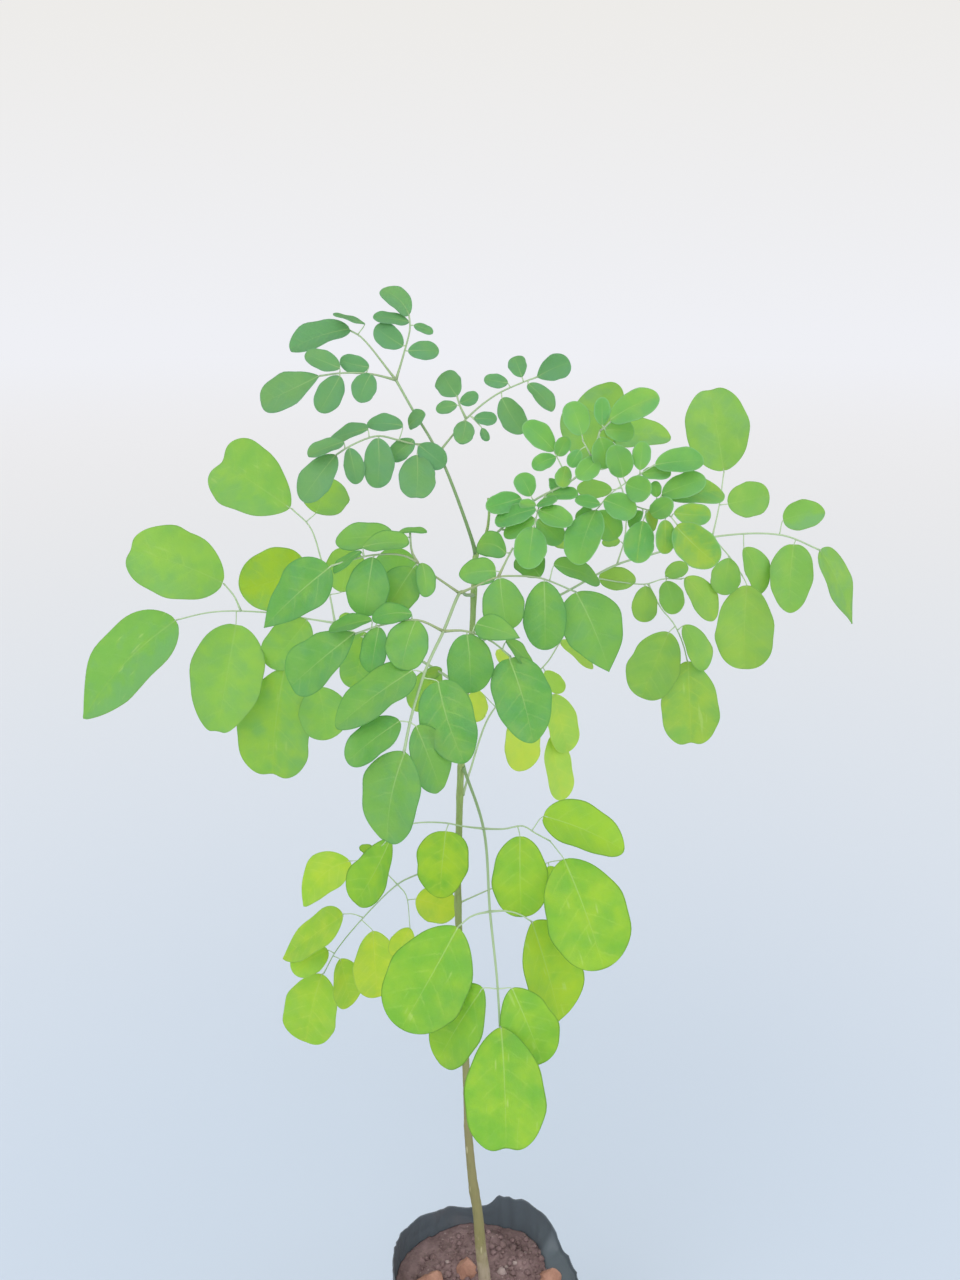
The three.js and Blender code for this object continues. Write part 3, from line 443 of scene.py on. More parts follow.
            [(457, 904, 0), (486, 891, -14), (520, 877, -28), (547, 863, -40), (562, 860, -48)],
        ],
        "leaflets": [
            (562, 860, 586, 890, 26, "plain", 8), (560, 864, 588, 935, 44, "plain", -12),
            (549, 866, 561, 905, 24, "plain", 8), (540, 870, 528, 900, 20),
        ],
    },
}

# How each frond's leaflets differ: colours in the order of LEAF_COLOURS, then yellowing, pale flecks
# and tone by the leaflet's place in its list. Listed tone and a few yellowing values are partly painted
# light: they lighten leaflets that lie in shade under others.
LOOKS = {
    "frond_top": {
        "colours": (0x7ab57d, 0x88bd79, 0x7ab29c, 0xc2db6d, 0x7fb58c), "cool_tint_and_sheen_share": 0.3, "ribs": 0.85,
        "age": 0.75, "stout": 1.2, "brown": 0.2, "all_yellow": 0.1,
    },
    "frond_young": {
        "colours": (0x71b768, 0x98d06c, 0x7abc8b, 0xccd83e, 0x9fd09a), "cool_tint_and_sheen_share": 0.45, "ribs": 0.85,
        "age": 0.35, "stout": 0.85, "brown": 0.2, "gold": 0.8, "all_yellow": 0.08,
        "flecks": {32: 1.0, 34: 0.6, 35: 0.5, 36: 0.9, 33: 0.4},
        "yellow": {2: 0.3, 13: 0.3, 14: 0.4, 16: 0.4, 22: 0.2, 27: 0.3, 28: 0.25, 29: 0.3, 32: 0.7, 33: 0.6,
                   34: 0.6, 35: 0.3, 36: 0.8, 38: 0.3, 41: 0.5},
        "tones_and_shade_lift": {1: 1.0, 2: 1.0, 11: 0.7, 13: 0.7, 14: 1.0, 15: 0.6, 16: 1.0, 22: 1.0, 24: 0.8, 26: 0.5,
                  28: 0.7, 29: 1.0, 32: 0.0, 34: 0.5, 35: 0.2, 36: 0.8, 37: 1.0, 38: 0.8, 39: 1.0, 40: 0.8,
                  41: 1.0},
    },
    "frond_front": {
        "colours": (0x6cb35f, 0x96cb68, 0x76b48a, 0xcadd65, 0x64a262), "cool_tint_and_sheen_share": 0.45, "ribs": 1.0,
        "age": 0.4, "stout": 1.2, "brown": 0.7, "all_yellow": 0.12,
        "yellow": {6: 0.45, 16: 0.25, 18: 0.25, 28: 0.25},
        "tones_and_shade_lift": {2: 1.0, 3: 1.0, 6: 0.8, 7: 1.0, 15: 1.0, 22: 1.0, 23: 1.0, 26: 1.0, 28: 0.7},
    },
    "frond_left": {
        "colours": (0x88c566, 0xacd768, 0x81bc88, 0xc1da3c, 0x86b268), "cool_tint_and_sheen_share": 0.5, "ribs": 0.45,
        "age": 0.15, "stout": 1.15, "all_yellow": 0.2,
        "yellow": {6: 0.9, 7: 0.45, 12: 0.4, 3: -0.2, 13: 0.5, 14: 0.5},
        "flecks": {0: 0.6, 1: 0.3, 2: 0.4, 3: 0.8, 7: 0.5},
        "tones_and_shade_lift": {2: 0.8, 7: 0.6, 9: 1.0, 11: 1.0, 13: 1.0, 14: 1.0},
    },
    "frond_right": {
        "colours": (0x8dc567, 0xb1d76c, 0x86bd88, 0xcedc4e, 0x8cb86c), "cool_tint_and_sheen_share": 0.35, "ribs": 0.4,
        "age": 0.2, "stout": 0.95, "all_yellow": 0.15,
        "yellow": {0: -0.3, 2: -0.6, 4: -0.6, 7: 0.3, 8: 0.3, 13: 0.3, 14: 0.55, 16: -0.5, 17: -0.3,
                   18: -0.5},
        "flecks": {0: 0.3, 14: 0.8, 7: 0.3},
        "tones_and_shade_lift": {3: 0.3, 4: 0.5, 12: 1.0, 13: 0.5, 16: 0.5, 17: 0.5, 18: 0.5, 19: 0.2, 20: 1.0},
    },
    "frond_low_front": {
        "colours": (0x80c14b, 0xb1d94d, 0x7fbd69, 0xd6e53c, 0x548440), "cool_tint_and_sheen_share": 0.3, "ribs": 0.8,
        "age": 0.55, "stout": 1.05, "all_yellow": 0.25,
        "yellow": {0: 0.6, 7: 0.6, 5: 0.4, 4: 0.4, 10: 0.3},
        "flecks": {5: 0.8, 6: 1.0, 7: 0.8, 8: 0.6, 9: 0.6, 10: 1.0},
        "tones_and_shade_lift": {0: 0.6, 1: 0.4, 3: 1.0, 4: 0.75, 5: 0.55, 6: 0.35, 7: 1.0, 8: 0.5, 9: 0.5, 10: 0.4},
    },
    "frond_low_left": {
        "colours": (0x9ed452, 0xc7e254, 0xa2d17a, 0xf0f056, 0x9cc46a), "cool_tint_and_sheen_share": 0.35, "ribs": 0.35,
        "age": 0.3, "stout": 0.7, "all_yellow": 0.35,
        "yellow": {0: 0.7, 1: 0.6, 4: 0.5},
        "tones_and_shade_lift": {0: 1.0, 1: 1.0, 2: 0.5, 3: 0.3, 4: 0.9},
    },
    "frond_low_back": {
        "colours": (0xa9da6e, 0xd5e96e, 0xb0d68c, 0xeaeb5e, 0xc4dc84), "cool_tint_and_sheen_share": 0.25, "ribs": 0.35,
        "age": 0.1, "stout": 0.8, "all_yellow": 0.5,
        "yellow": {0: 0.4, 1: 0.0, 2: 0.3, 3: 0.25, 4: 0.0},
        "tones_and_shade_lift": {0: 1.0, 1: 0.0, 2: 0.1, 3: 0.3, 4: 0.0},
    },
    "frond_hidden": {
        "colours": (0x87cb4c, 0xb1dc49, 0x96ca6b, 0xdfea3a, 0x7fb443), "cool_tint_and_sheen_share": 0.3, "ribs": 0.4,
        "age": 0.2, "stout": 0.6, "all_yellow": 0.3,
    },
}
# Colours of a frond that can be changed: their titles and what they are. The cool patches are partly a
# painted sky reflection, and the edge line is a painted rim highlight where its colour is paler than the
# leaf.
LEAF_COLOURS = {
    "deep": ("Deep", "Darker green of the leaflets"),
    "light": ("Light", "Lighter green of the leaflets"),
    "cool": ("Cool", "Bluish tinge in patches"),
    "yellow_tint": ("Yellow", "Tinge of yellowing patches"),
    "edge": ("Edge", "Thin line round each leaflet"),
}
# Tint of the light that shines through a leaflet, and share of it that a stalk lets through
GLOW_TINT = (1.1, 1.05, 1.0)
STALK_GLOW = 0.3

# Floor: its rings, as shares of its radius, its sides and how far it lies below the bag
FLOOR_RINGS = (1.0, 0.55, 0.25, 0.08)
FLOOR_SIDES = 96
FLOOR_DROP = 0.2
# Lamps, in metres: their places, their size and the point that they face
LAMPS = {"key": (-0.8, -2.7, 2.1), "fill": (2.0, -2.2, 1.2)}
LAMP_SIZE = 3.0
LAMP_AIM = Vector((0, 0, 0.25))


def paint(code):
    """Colour from its usual six-figure code, as the shader reads it."""
    shades = [(code >> shift & 255) / 255 for shift in (16, 8, 0)]
    return tuple(((c + 0.055) / 1.055) ** 2.4 if c > 0.04045 else c / 12.92 for c in shades)


def draw(seed, index):
    """Repeatable draw between 0 and 1."""
    wide = math.sin(seed * 12.9898 + index * 78.233) * 43758.5453
    return wide - math.floor(wide)


def ease(low, high, value):
    """Smooth rise from 0 at low to 1 at high."""
    share = min(1, max(0, (value - low) / (high - low)))
    return share * share * (3 - 2 * share)


def between(ends, share):
    """Value at a share of the way between two ends."""
    return ends[0] + (ends[1] - ends[0]) * share


def turns(count):
    """Angles of evenly spaced directions all round."""
    return [2 * math.pi * step / count for step in range(count)]


def compass(radius, angle):
    """Place x, y at a distance and an angle from the bag's middle."""
    return radius * math.cos(angle), radius * math.sin(angle)


def polar(radius, angle, z):
    """Point at a distance and an angle from the bag's middle, and at a height."""
    return Vector((*compass(radius, angle), z))


class Form:
    """A mesh while it is made: its points in millimetres, its faces and the marks its finishes read."""

    def __init__(self):
        self.points = []
        self.faces = []
        self.slots = []
        self.marks = []

    def add_point(self, point, marks=None):
        """Adds a point with the marks that a leaf carries there, and returns its number."""
        self.points.append(point)
        self.marks.append(marks or {})
        return len(self.points) - 1

    def add_face(self, corners, slot=0):
        """Adds a face on points that are there already."""
        self.faces.append(tuple(corners))
        self.slots.append(slot)

    def add_strip(self, row, next_row, slot=0, closed=False):
        """Joins two rows of points with a strip of four-sided faces."""
        count = len(row)
        for index in range(count if closed else count - 1):
            after = (index + 1) % count
            self.add_face((row[index], row[after], next_row[after], next_row[index]), slot)

    def add_skin(self, rows, slot=0, closed=False, inside_out=False):
        """Joins each row of points to the next."""
        for row, next_row in zip(rows, rows[1:]):
            self.add_strip(*((next_row, row) if inside_out else (row, next_row)), slot, closed)

    def add_fan(self, ring, point, marks=None, inside_out=False):
        """Closes a ring with a point in its middle."""
        middle = self.add_point(point, marks)
        for index, corner in enumerate(ring):
            corners = (corner, ring[(index + 1) % len(ring)], middle)
            self.add_face(reversed(corners) if inside_out else corners)

    def add_tube(self, path, sides, reach, slot=0, marks=None):
        """Adds a closed tube along a path.

        reach gives its radius from a place's number and a direction, and marks its marks from a
        place's share of the path.
        """
        rings = []
        for number, (centre, across, upright) in enumerate(moving_axes(path)):
            here = marks(number / (len(path) - 1)) if marks else None
            ways = [across * math.cos(angle) + upright * math.sin(angle) for angle in turns(sides)]
            rings.append([self.add_point(centre + way * reach(number, way), here) for way in ways])
        self.add_skin(rings, slot, closed=True)
        self.add_face(reversed(rings[0]), slot)
        self.add_face(rings[-1], slot)

    def build(self, name, finishes):
        """Turns the form into a shaded object in metres."""
        mesh = bpy.data.meshes.new(name)
        mesh.from_pydata([point * MM for point in self.points], [], self.faces)
        for finish in finishes:
            mesh.materials.append(finish)
        mesh.polygons.foreach_set("material_index", self.slots)
        mesh.polygons.foreach_set("use_smooth", [True] * len(self.faces))
        if any(self.marks):
            self.add_marks(mesh)
        mesh.validate()
        return add_object(name, mesh)

    def add_marks(self, mesh):
        """Gives a mesh its points' marks: places as a UV map, the others as vectors."""
        places = [marks.get("place", (0.0, 0.0)) for marks in self.marks]
        layer = mesh.uv_layers.new(name="leaf_place")
        layer.data.foreach_set("uv", [value for loop in mesh.loops for value in places[loop.vertex_index]])
        for title in ("tint", "spot", "wear", "turn"):
            vectors = mesh.attributes.new("mark_" + title, "FLOAT_VECTOR", "POINT")
            values = [value for marks in self.marks for value in marks.get(title, (0.0, 0.0, 0.0))]
            vectors.data.foreach_set("vector", values)


def add_object(name, data):
    """Adds an object to the scene."""
    made = bpy.data.objects.new(name, data)
    bpy.context.scene.collection.objects.link(made)
    return made


def moving_axes(path):
    """Each centre of a path with two cross axes, which turn with it and don't twist."""
    across = None
    for index, centre in enumerate(path):
        heading = (path[min(len(path) - 1, index + 1)] - path[max(0, index - 1)]).normalized()
        if across is None:
            across = heading.orthogonal()
        across = (across - heading * across.dot(heading)).normalized()
        yield centre, across, heading.cross(across)


def span_point(before, start, end, after, share):
    """Point between start and end on a smooth curve that also heeds its two neighbours."""
    gap0, gap1, gap2 = (max(1e-3, (b - a).length ** 0.5)
                        for a, b in ((before, start), (start, end), (end, after)))
    leave = ((start - before) / gap0 - (end - before) / (gap0 + gap1) + (end - start) / gap1) * gap1
    arrive = ((end - start) / gap1 - (after - start) / (gap1 + gap2) + (after - end) / gap2) * gap1
    bend = (start - end) * 2 + leave + arrive
    sway = (end - start) * 3 - leave * 2 - arrive
    return start + leave * share + sway * share ** 2 + bend * share ** 3


def smooth_path(points, step):
    """Evenly spaced points on the smooth curve through the given ones."""
    fine_steps = 14
    ends = [points[0] * 2 - points[1], *points, points[-1] * 2 - points[-2]]
    fine = [span_point(*ends[index:index + 4], fraction / fine_steps)
            for index in range(len(points) - 1) for fraction in range(fine_steps)]
    return evenly_spaced([*fine, points[-1]], step)


def evenly_spaced(points, step):
    """Points about a step apart along a broken line."""
    reaches = [0.0]
    for start, end in zip(points, points[1:]):
        reaches.append(reaches[-1] + (end - start).length)
    count = max(2, round(reaches[-1] / step))
    spaced = []
    index = 0
    for number in range(count + 1):
        target = reaches[-1] * number / count
        while index < len(points) - 2 and reaches[index + 1] < target:
            index += 1
        share = (target - reaches[index]) / (reaches[index + 1] - reaches[index])
        spaced.append(points[index].lerp(points[index + 1], share))
    return spaced


def ray(u, v):
    """Ray from the eye through a point of the front view."""
    upwards = VIEW_CENTRE[1] - v
    depth = VIEW_FOCAL * math.cos(VIEW_TILT) + upwards * math.sin(VIEW_TILT)
    rise = upwards * math.cos(VIEW_TILT) - VIEW_FOCAL * math.sin(VIEW_TILT)
    return Vector((u - VIEW_CENTRE[0], depth, rise))


def scale_at(u, v, near):
    """Millimetres that one unit of the front view covers, near in front of the plane through the stem."""
    return (-EYE.y - near) / ray(u, v).y


def seen(u, v, near):
    """Point seen at u, v that stands near in front of the plane through the stem."""
    return EYE + ray(u, v) * scale_at(u, v, near)


def front_view(point):
    """Where a point shows in the front view."""
    offset = point - EYE
    depth = offset.y * math.cos(VIEW_TILT) - offset.z * math.sin(VIEW_TILT)
    rise = offset.y * math.sin(VIEW_TILT) + offset.z * math.cos(VIEW_TILT)
    scale = VIEW_FOCAL / depth
    return Vector((VIEW_CENTRE[0] + offset.x * scale, VIEW_CENTRE[1] - rise * scale))


def attachment(paths, u, v):
    """Nearest place to u, v of the front view on a frond's stalks."""
    target = Vector((u, v))
    places = [point for path in paths for point in path]
    return min(places, key=lambda point: (front_view(point) - target).length).copy()


def stalk_paths(stalks):
    """Paths of a frond's stalks, where each one but the first starts on the stalk that carries it."""
    paths = []
    for places in stalks:
        points = [seen(*place) for place in places]
        if paths:
            points[0] = attachment(paths, *places[0][:2])
        paths.append(smooth_path(points, STALK_STEP))
    return paths


class Leaflet:
    """One leaflet in its place, with its axes, its size and its own small differences.

    A leaflet seen narrow is turned about its midrib, with its upper face towards the sky.
    """

    def __init__(self, row, near, seed, index):
        u0, v0, u1, v1, seen_width, *extras = row
        form, lean, aside = (*extras, *USUAL_LEAFLET[len(extras):])
        self.draws = {title: draw(seed, index + part) for title, part in LEAFLET_DRAWS.items()}
        if aside is not None:
            self.draws["aside"] = aside
        self.foot, self.tip, self.end, self.notch = FORMS[form]
        self.foot += FOOT_VARIETY * (self.draws["belly"] - 0.5)
        self.base = seen(u0, v0, near)
        flat_length = (seen(u1, v1, near) - self.base).length
        flat_width = seen_width * scale_at(u0, v0, near)
        if lean is None:
            hidden = math.sqrt(max(0, (flat_width / FULLEST_WIDTH) ** 2 - flat_length ** 2))
            lean = hidden * (1 if v1 > v0 else -1 if v1 < v0 else 0)
            lean += (self.draws["sway"] - 0.5) * 2 * SWAY * flat_length
        along = seen(u1, v1, near + lean) - self.base
        self.length = along.length
        self.along = along.normalized()
        self.width = max(flat_width, NATURAL_WIDTH * self.length)
        flat_across = self.along.cross((EYE - self.base).normalized()).normalized()
        turn = -math.copysign(1, flat_across.z) * math.acos(min(1, flat_width / self.width))
        self.across = flat_across * math.cos(turn) + flat_across.cross(self.along) * math.sin(turn)
        self.up = self.across.cross(self.along)

    def half_width(self, share):
        """Half width at a share of the length."""
        widest = self.foot / (self.foot + self.tip)
        greatest = widest ** self.foot * (1 - widest) ** self.tip
        return self.width / 2 * share ** self.foot * (1 - share) ** self.tip / greatest

    def margin(self, share, side):
        """Slight waves and one dent in the edge."""
        edge = math.copysign(1, side)
        phase = EDGE_RIPPLES * share + self.draws["wave"] + RIPPLE_SHIFT * edge
        place = between(DENT_PLACES, self.draws["dent"])
        depth = EDGE_DENT if edge * (self.draws["cup"] - 0.5) > 0 else 0
        dent = depth * math.exp(-((share - place) / DENT_SHARE) ** 2)
        return (EDGE_RIPPLE * math.sin(2 * math.pi * phase) - dent) * abs(side) * math.sin(math.pi * share)

    def reach(self, share, side):
        """Distance from the base, along the midrib, with the rounded or notched tip."""
        rounding = (1 - self.end) * (1 - abs(side) ** (1 / self.tip))
        dip = self.notch * math.exp(-(side / NOTCH_WIDTH) ** 2)
        return self.length * (share + (rounding - dip) * (share / self.end) ** TIP_REACH)

    def inwards(self, share, side):
        """Distance from a place to the edge."""
        beside = (1 - abs(side)) * self.half_width(share)
        return min(beside, self.reach(self.end, side) - self.reach(share, side))

    def relief(self, share, side):
        """Height of the fold along the midrib and of the soft pillows between the side veins."""
        half = self.half_width(share)
        phase = LATERAL_PAIRS * (share - LATERAL_RISE * abs(side) * half / self.length)
        pillow = QUILT * math.cos(2 * math.pi * phase) * abs(side) * (1 - abs(side)) * 4
        return FOLD * half * (abs(side) - 0.5) + pillow

    def point(self, share, side, lift=0):
        """Point of the blade: share runs from base to tip, side from -1 to 1, lift from its middle."""
        half = self.half_width(share)
        arch = self.length * 4 * share * (1 - share)
        aside = SIDE_BOW * (self.draws["aside"] - 0.5) * arch
        bow = BOW * (LEAST_BOW + self.draws["bow"]) * arch
        cup = CUP * (self.draws["cup"] - CUP_UNDER) * half * side * side
        wave = WAVE * half * math.sin(2 * math.pi * (WAVES * share + self.draws["wave"])) * side * abs(side)
        spread = half * side * (1 + self.margin(share, side)) + aside
        rise = bow + cup + wave + self.relief(share, side) + lift
        return self.base + self.along * self.reach(share, side) + self.across * spread + self.up * rise


def add_leaflet(form, row, paths, seed, index, looks, thickness):
    """Adds a leaflet and the little stalk that holds it."""
    start = attachment(paths, *row[:2])
    leaf = Leaflet(row, -start.y, seed, index)
    # A listed tone is often painted light that lightens a leaflet lying in shade under others; an unlisted
    # one is a random draw
    tone = looks.get("tones_and_shade_lift", {}).get(index, leaf.draws["tone"])
    yellow = looks.get("yellow", {}).get(index, looks["all_yellow"])
    flecks = looks.get("flecks", {}).get(index, 0.0)
    shift = seed * 70 + index * 17
    # Tilt across the leaflet, with some random spread: it steers the painted sky reflection, bluer on the
    # half that lies lower
    slope = leaf.across.z + (leaf.draws["bow"] - 0.5) * SLOPE_VARIETY
    rows, columns = LEAF_GRID["large" if leaf.length > LARGE_LEAFLET else "small"]
    rib_height = MIDRIB_HEIGHT * min(1, leaf.length / LARGE_LEAFLET)
    sheets = {1: [], -1: []}
    for number in range(rows + 1):
        share = between((FIRST_SHARE, leaf.end), (1 - math.cos(math.pi * number / rows)) / 2)
        half = leaf.half_width(share)
        for face, sheet in sheets.items():
            sheet.append([])
            for column in range(columns + 1):
                side = math.sin(math.pi / 2 * (2 * column / columns - 1))
                thick = between((LEAF_EDGE, thickness), 1 - side ** 4)
                rib = rib_height * math.exp(-(side * half / MIDRIB_WIDTH) ** 2) * (1 - MIDRIB_FADE * share)
                lift = face * thick / 2 - rib * (UPPER_MIDRIB if face > 0 else 1)
                sheet[-1].append(form.add_point(leaf.point(share, side, lift), {
                    "place": ((side + 1) / 2, share),
                    "tint": (tone, yellow, 0.0 if face > 0 else 1.0),
                    "spot": (side * half, share * leaf.length, shift),
                    "wear": (flecks, leaf.length, leaf.inwards(share, side)),
                    "turn": (side * slope, 0.0, 0.0),
                }))
    form.add_skin(sheets[1])
    form.add_skin(sheets[-1], inside_out=True)
    form.add_strip(edge_of(sheets[-1]), edge_of(sheets[1]), closed=True)
    add_petiolule(form, start, leaf, thickness)


def edge_of(sheet):
    """Numbers of the points all round a sheet's edge."""
    return (sheet[0] + [row[-1] for row in sheet[1:]] + sheet[-1][-2::-1]
            + [row[0] for row in sheet[-2:0:-1]])


def add_petiolule(form, start, leaf, thickness):
    """Adds the thread-like stalk from the frond to the leaflet's midrib."""
    edge, join = (leaf.point(share, 0) for share in (FIRST_SHARE, PETIOLULE_JOIN))
    path = smooth_path([start, edge, join - leaf.up * thickness / 2], PETIOLULE_STEP)
    last = len(path) - 1
    swelling = {0: PETIOLULE_FOOT, last: PETIOLULE_END}

    def reach(number, _):
        return between(PETIOLULE_RADII, number / last) * swelling.get(number, 1)

    form.add_tube(path, PETIOLULE_SIDES, reach, slot=1)


def add_stalk(form, kind, path, looks, stout):
    """Adds a stalk, a little swollen at its foot and paler towards its end."""
    stalk = STALKS[kind]
    last = len(path) - 1
    ages = [looks["age"] * age for age in stalk["ages"]]
    browns = (looks.get("brown", 0.0) * stalk["brown"], 0.0)

    def reach(number, _):
        swelling = 1 + sum(rise * math.exp(-steps / fade) for steps, (rise, fade)
                           in ((number, FOOT_SWELLING), (last - number, END_SWELLING)))
        return between(stalk["radii"], (number / last) ** STALK_TAPER) * swelling * stout

    def marks(share):
        return {"tint": (between(ages, share), between(browns, share), 0.0)}

    form.add_tube(path, stalk["sides"], reach, slot=1, marks=marks)


def add_frond(form, name, looks, plant):
    """Adds a whole frond: its stalks, then its leaflets."""
    seed = list(FRONDS).index(name) + 1
    frond = FRONDS[name]
    paths = stalk_paths(frond["stalks"])
    for index, path in enumerate(paths):
        add_stalk(form, "pinna" if index else "rachis", path, looks, looks["stout"] * plant.stalk_share)
    for index, row in enumerate(frond["leaflets"]):
        add_leaflet(form, row, paths, seed, index, looks, plant.leaf_thickness / MM)


class Wire:
    """A socket whose values can be used in sums, each of which adds a Math node."""

    def __init__(self, sketch, socket):
        self.sketch = sketch
        self.socket = socket

    def math(self, operation, *others):
        """Value of one Math node that takes this wire first."""
        values = dict(enumerate((self, *others)))
        return self.sketch.node("ShaderNodeMath", {"operation": operation}, values)

    __add__ = __radd__ = partialmethod(math, "ADD")
    __sub__ = partialmethod(math, "SUBTRACT")
    __mul__ = __rmul__ = partialmethod(math, "MULTIPLY")
    __truediv__ = partialmethod(math, "DIVIDE")
    __pow__ = partialmethod(math, "POWER")
    __abs__ = partialmethod(math, "ABSOLUTE")

    def __rsub__(self, other):
        return self.sketch.node("ShaderNodeMath", {"operation": "SUBTRACT"}, {0: other, 1: self})


class Sketch:
    """A material or a world while it is made, with one way to add any of its nodes."""

    def __init__(self, owner):
        owner.use_nodes = True
        self.owner = owner
        self.tree = owner.node_tree
        self.tree.nodes.clear()

    def node(self, kind, settings=None, values=None, output=0):
        """Adds a node, sets it up, fills its sockets and returns one of its outputs, if it has any."""
        made = self.tree.nodes.new(kind)
        for name, value in (settings or {}).items():
            if name == "stops":
                self.set_stops(made.color_ramp, value)
            else:
                setattr(made, name, value)
        for name, value in (values or {}).items():
            socket = made.inputs[name]
            if isinstance(value, Wire):
                self.tree.links.new(value.socket, socket)
            else:
                socket.default_value = (*value, 1.0) if socket.type == "RGBA" else value
        return Wire(self, made.outputs[output]) if made.outputs else None

    def set_stops(self, ramp, stops):
        """Sets a colour ramp's stops."""
        while len(ramp.elements) < len(stops):
            ramp.elements.new(1.0)
        for element, (position, colour) in zip(ramp.elements, stops):
            element.position = position
            element.color = (*colour, 1.0)

    def blend(self, share, low, high):
        """Mix of two colours, through those of the Mix node's sockets that carry colours."""
        return self.node("ShaderNodeMix", {"data_type": "RGBA"}, {0: share, 6: low, 7: high}, 2)

    def rise(self, value, low, high):
        """Smooth rise from 0 to 1 as the value goes from low to high."""
        settings = {"interpolation_type": "SMOOTHSTEP"}
        return self.node("ShaderNodeMapRange", settings, {"Value": value, "From Min": low, "From Max": high})

    def cloud(self, where, scale, detail=3.0, roughness=0.55):
        """Soft noise between 0 and 1."""
        values = {"Vector": where, "Scale": scale, "Detail": detail, "Roughness": roughness}
        return self.node("ShaderNodeTexNoise", {}, values)

    def cells(self, where, scale, feature="DISTANCE_TO_EDGE"):
        """Distance to the edge or the centre of random cells."""
        return self.node("ShaderNodeTexVoronoi", {"feature": feature}, {"Vector": where, "Scale": scale})

    def moved(self, where, **values):
        """Place after a move, a turn or a stretch."""
        return self.node("ShaderNodeMapping", {}, {"Vector": where, **values})

    def object_place(self):
        """Place on the piece, in metres."""
        return self.node("ShaderNodeTexCoord", output="Object")

    def marks(self, title):
        """Marks of one kind that a mesh carries, as a vector at each point."""
        return self.node("ShaderNodeAttribute", {"attribute_name": "mark_" + title}, output="Vector")

    def split(self, vector):
        """Three numbers of a vector."""
        made = self.node("ShaderNodeSeparateXYZ", {}, {0: vector}).socket.node
        return [Wire(self, output) for output in made.outputs]

    def surface(self, colour, roughness, relief, distance, strength, gloss=0.5):
        """Surface with fine relief."""
        bump = {"Height": relief, "Distance": distance, "Strength": strength}
        return self.node("ShaderNodeBsdfPrincipled", {}, {
            "Base Color": colour,
            "Roughness": roughness,
            "Specular IOR Level": gloss,
            "Normal": self.node("ShaderNodeBump", {}, bump),
        })

    def glowing(self, share, surface, colour):
        """Surface that lets a share of the light through."""
        glow = self.node("ShaderNodeBsdfTranslucent", {}, {"Color": colour})
        return self.node("ShaderNodeMixShader", {}, {0: share, 1: surface, 2: glow})

    def finish(self, shader, kind="ShaderNodeOutputMaterial"):
        """Joins a shader to the output and returns the finished material or world."""
        self.node(kind, {}, {"Surface": shader})
        return self.owner


def new_sketch(name):
    """Sketch of a new material, and the place on the piece."""
    sketch = Sketch(bpy.data.materials.new(name))
    return sketch, sketch.object_place()


def leaf_veins(sketch, across, share, from_rib, length, fine):
    """Midrib, the band along it and the side veins of a leaf, each from 0 to 1."""
    rib_width = ((1 - share) * 0.21 + 0.07) * (length * 0.03 + 0.4)
    midrib = 1 - sketch.rise(from_rib / rib_width, 0.35, 1.0)
    band = 1 - sketch.rise(from_rib / rib_width, 0.8, 4.5)
    arch = from_rib / length * (LATERAL_RISE + from_rib / length * 0.9)
    pitch = (share - arch + (fine - 0.5) * 0.05) * LATERAL_PAIRS
    pitch = pitch + sketch.rise(across, 0.499, 0.501) * 0.45
    from_vein = (1 - abs(pitch.math("FRACT") - 0.5) * 2) * length * (0.5 / LATERAL_PAIRS)
    lateral = (1 - sketch.rise(from_vein, 0.05, 0.5)) * sketch.rise(length, 9.0, 24.0)
    return midrib, band, lateral


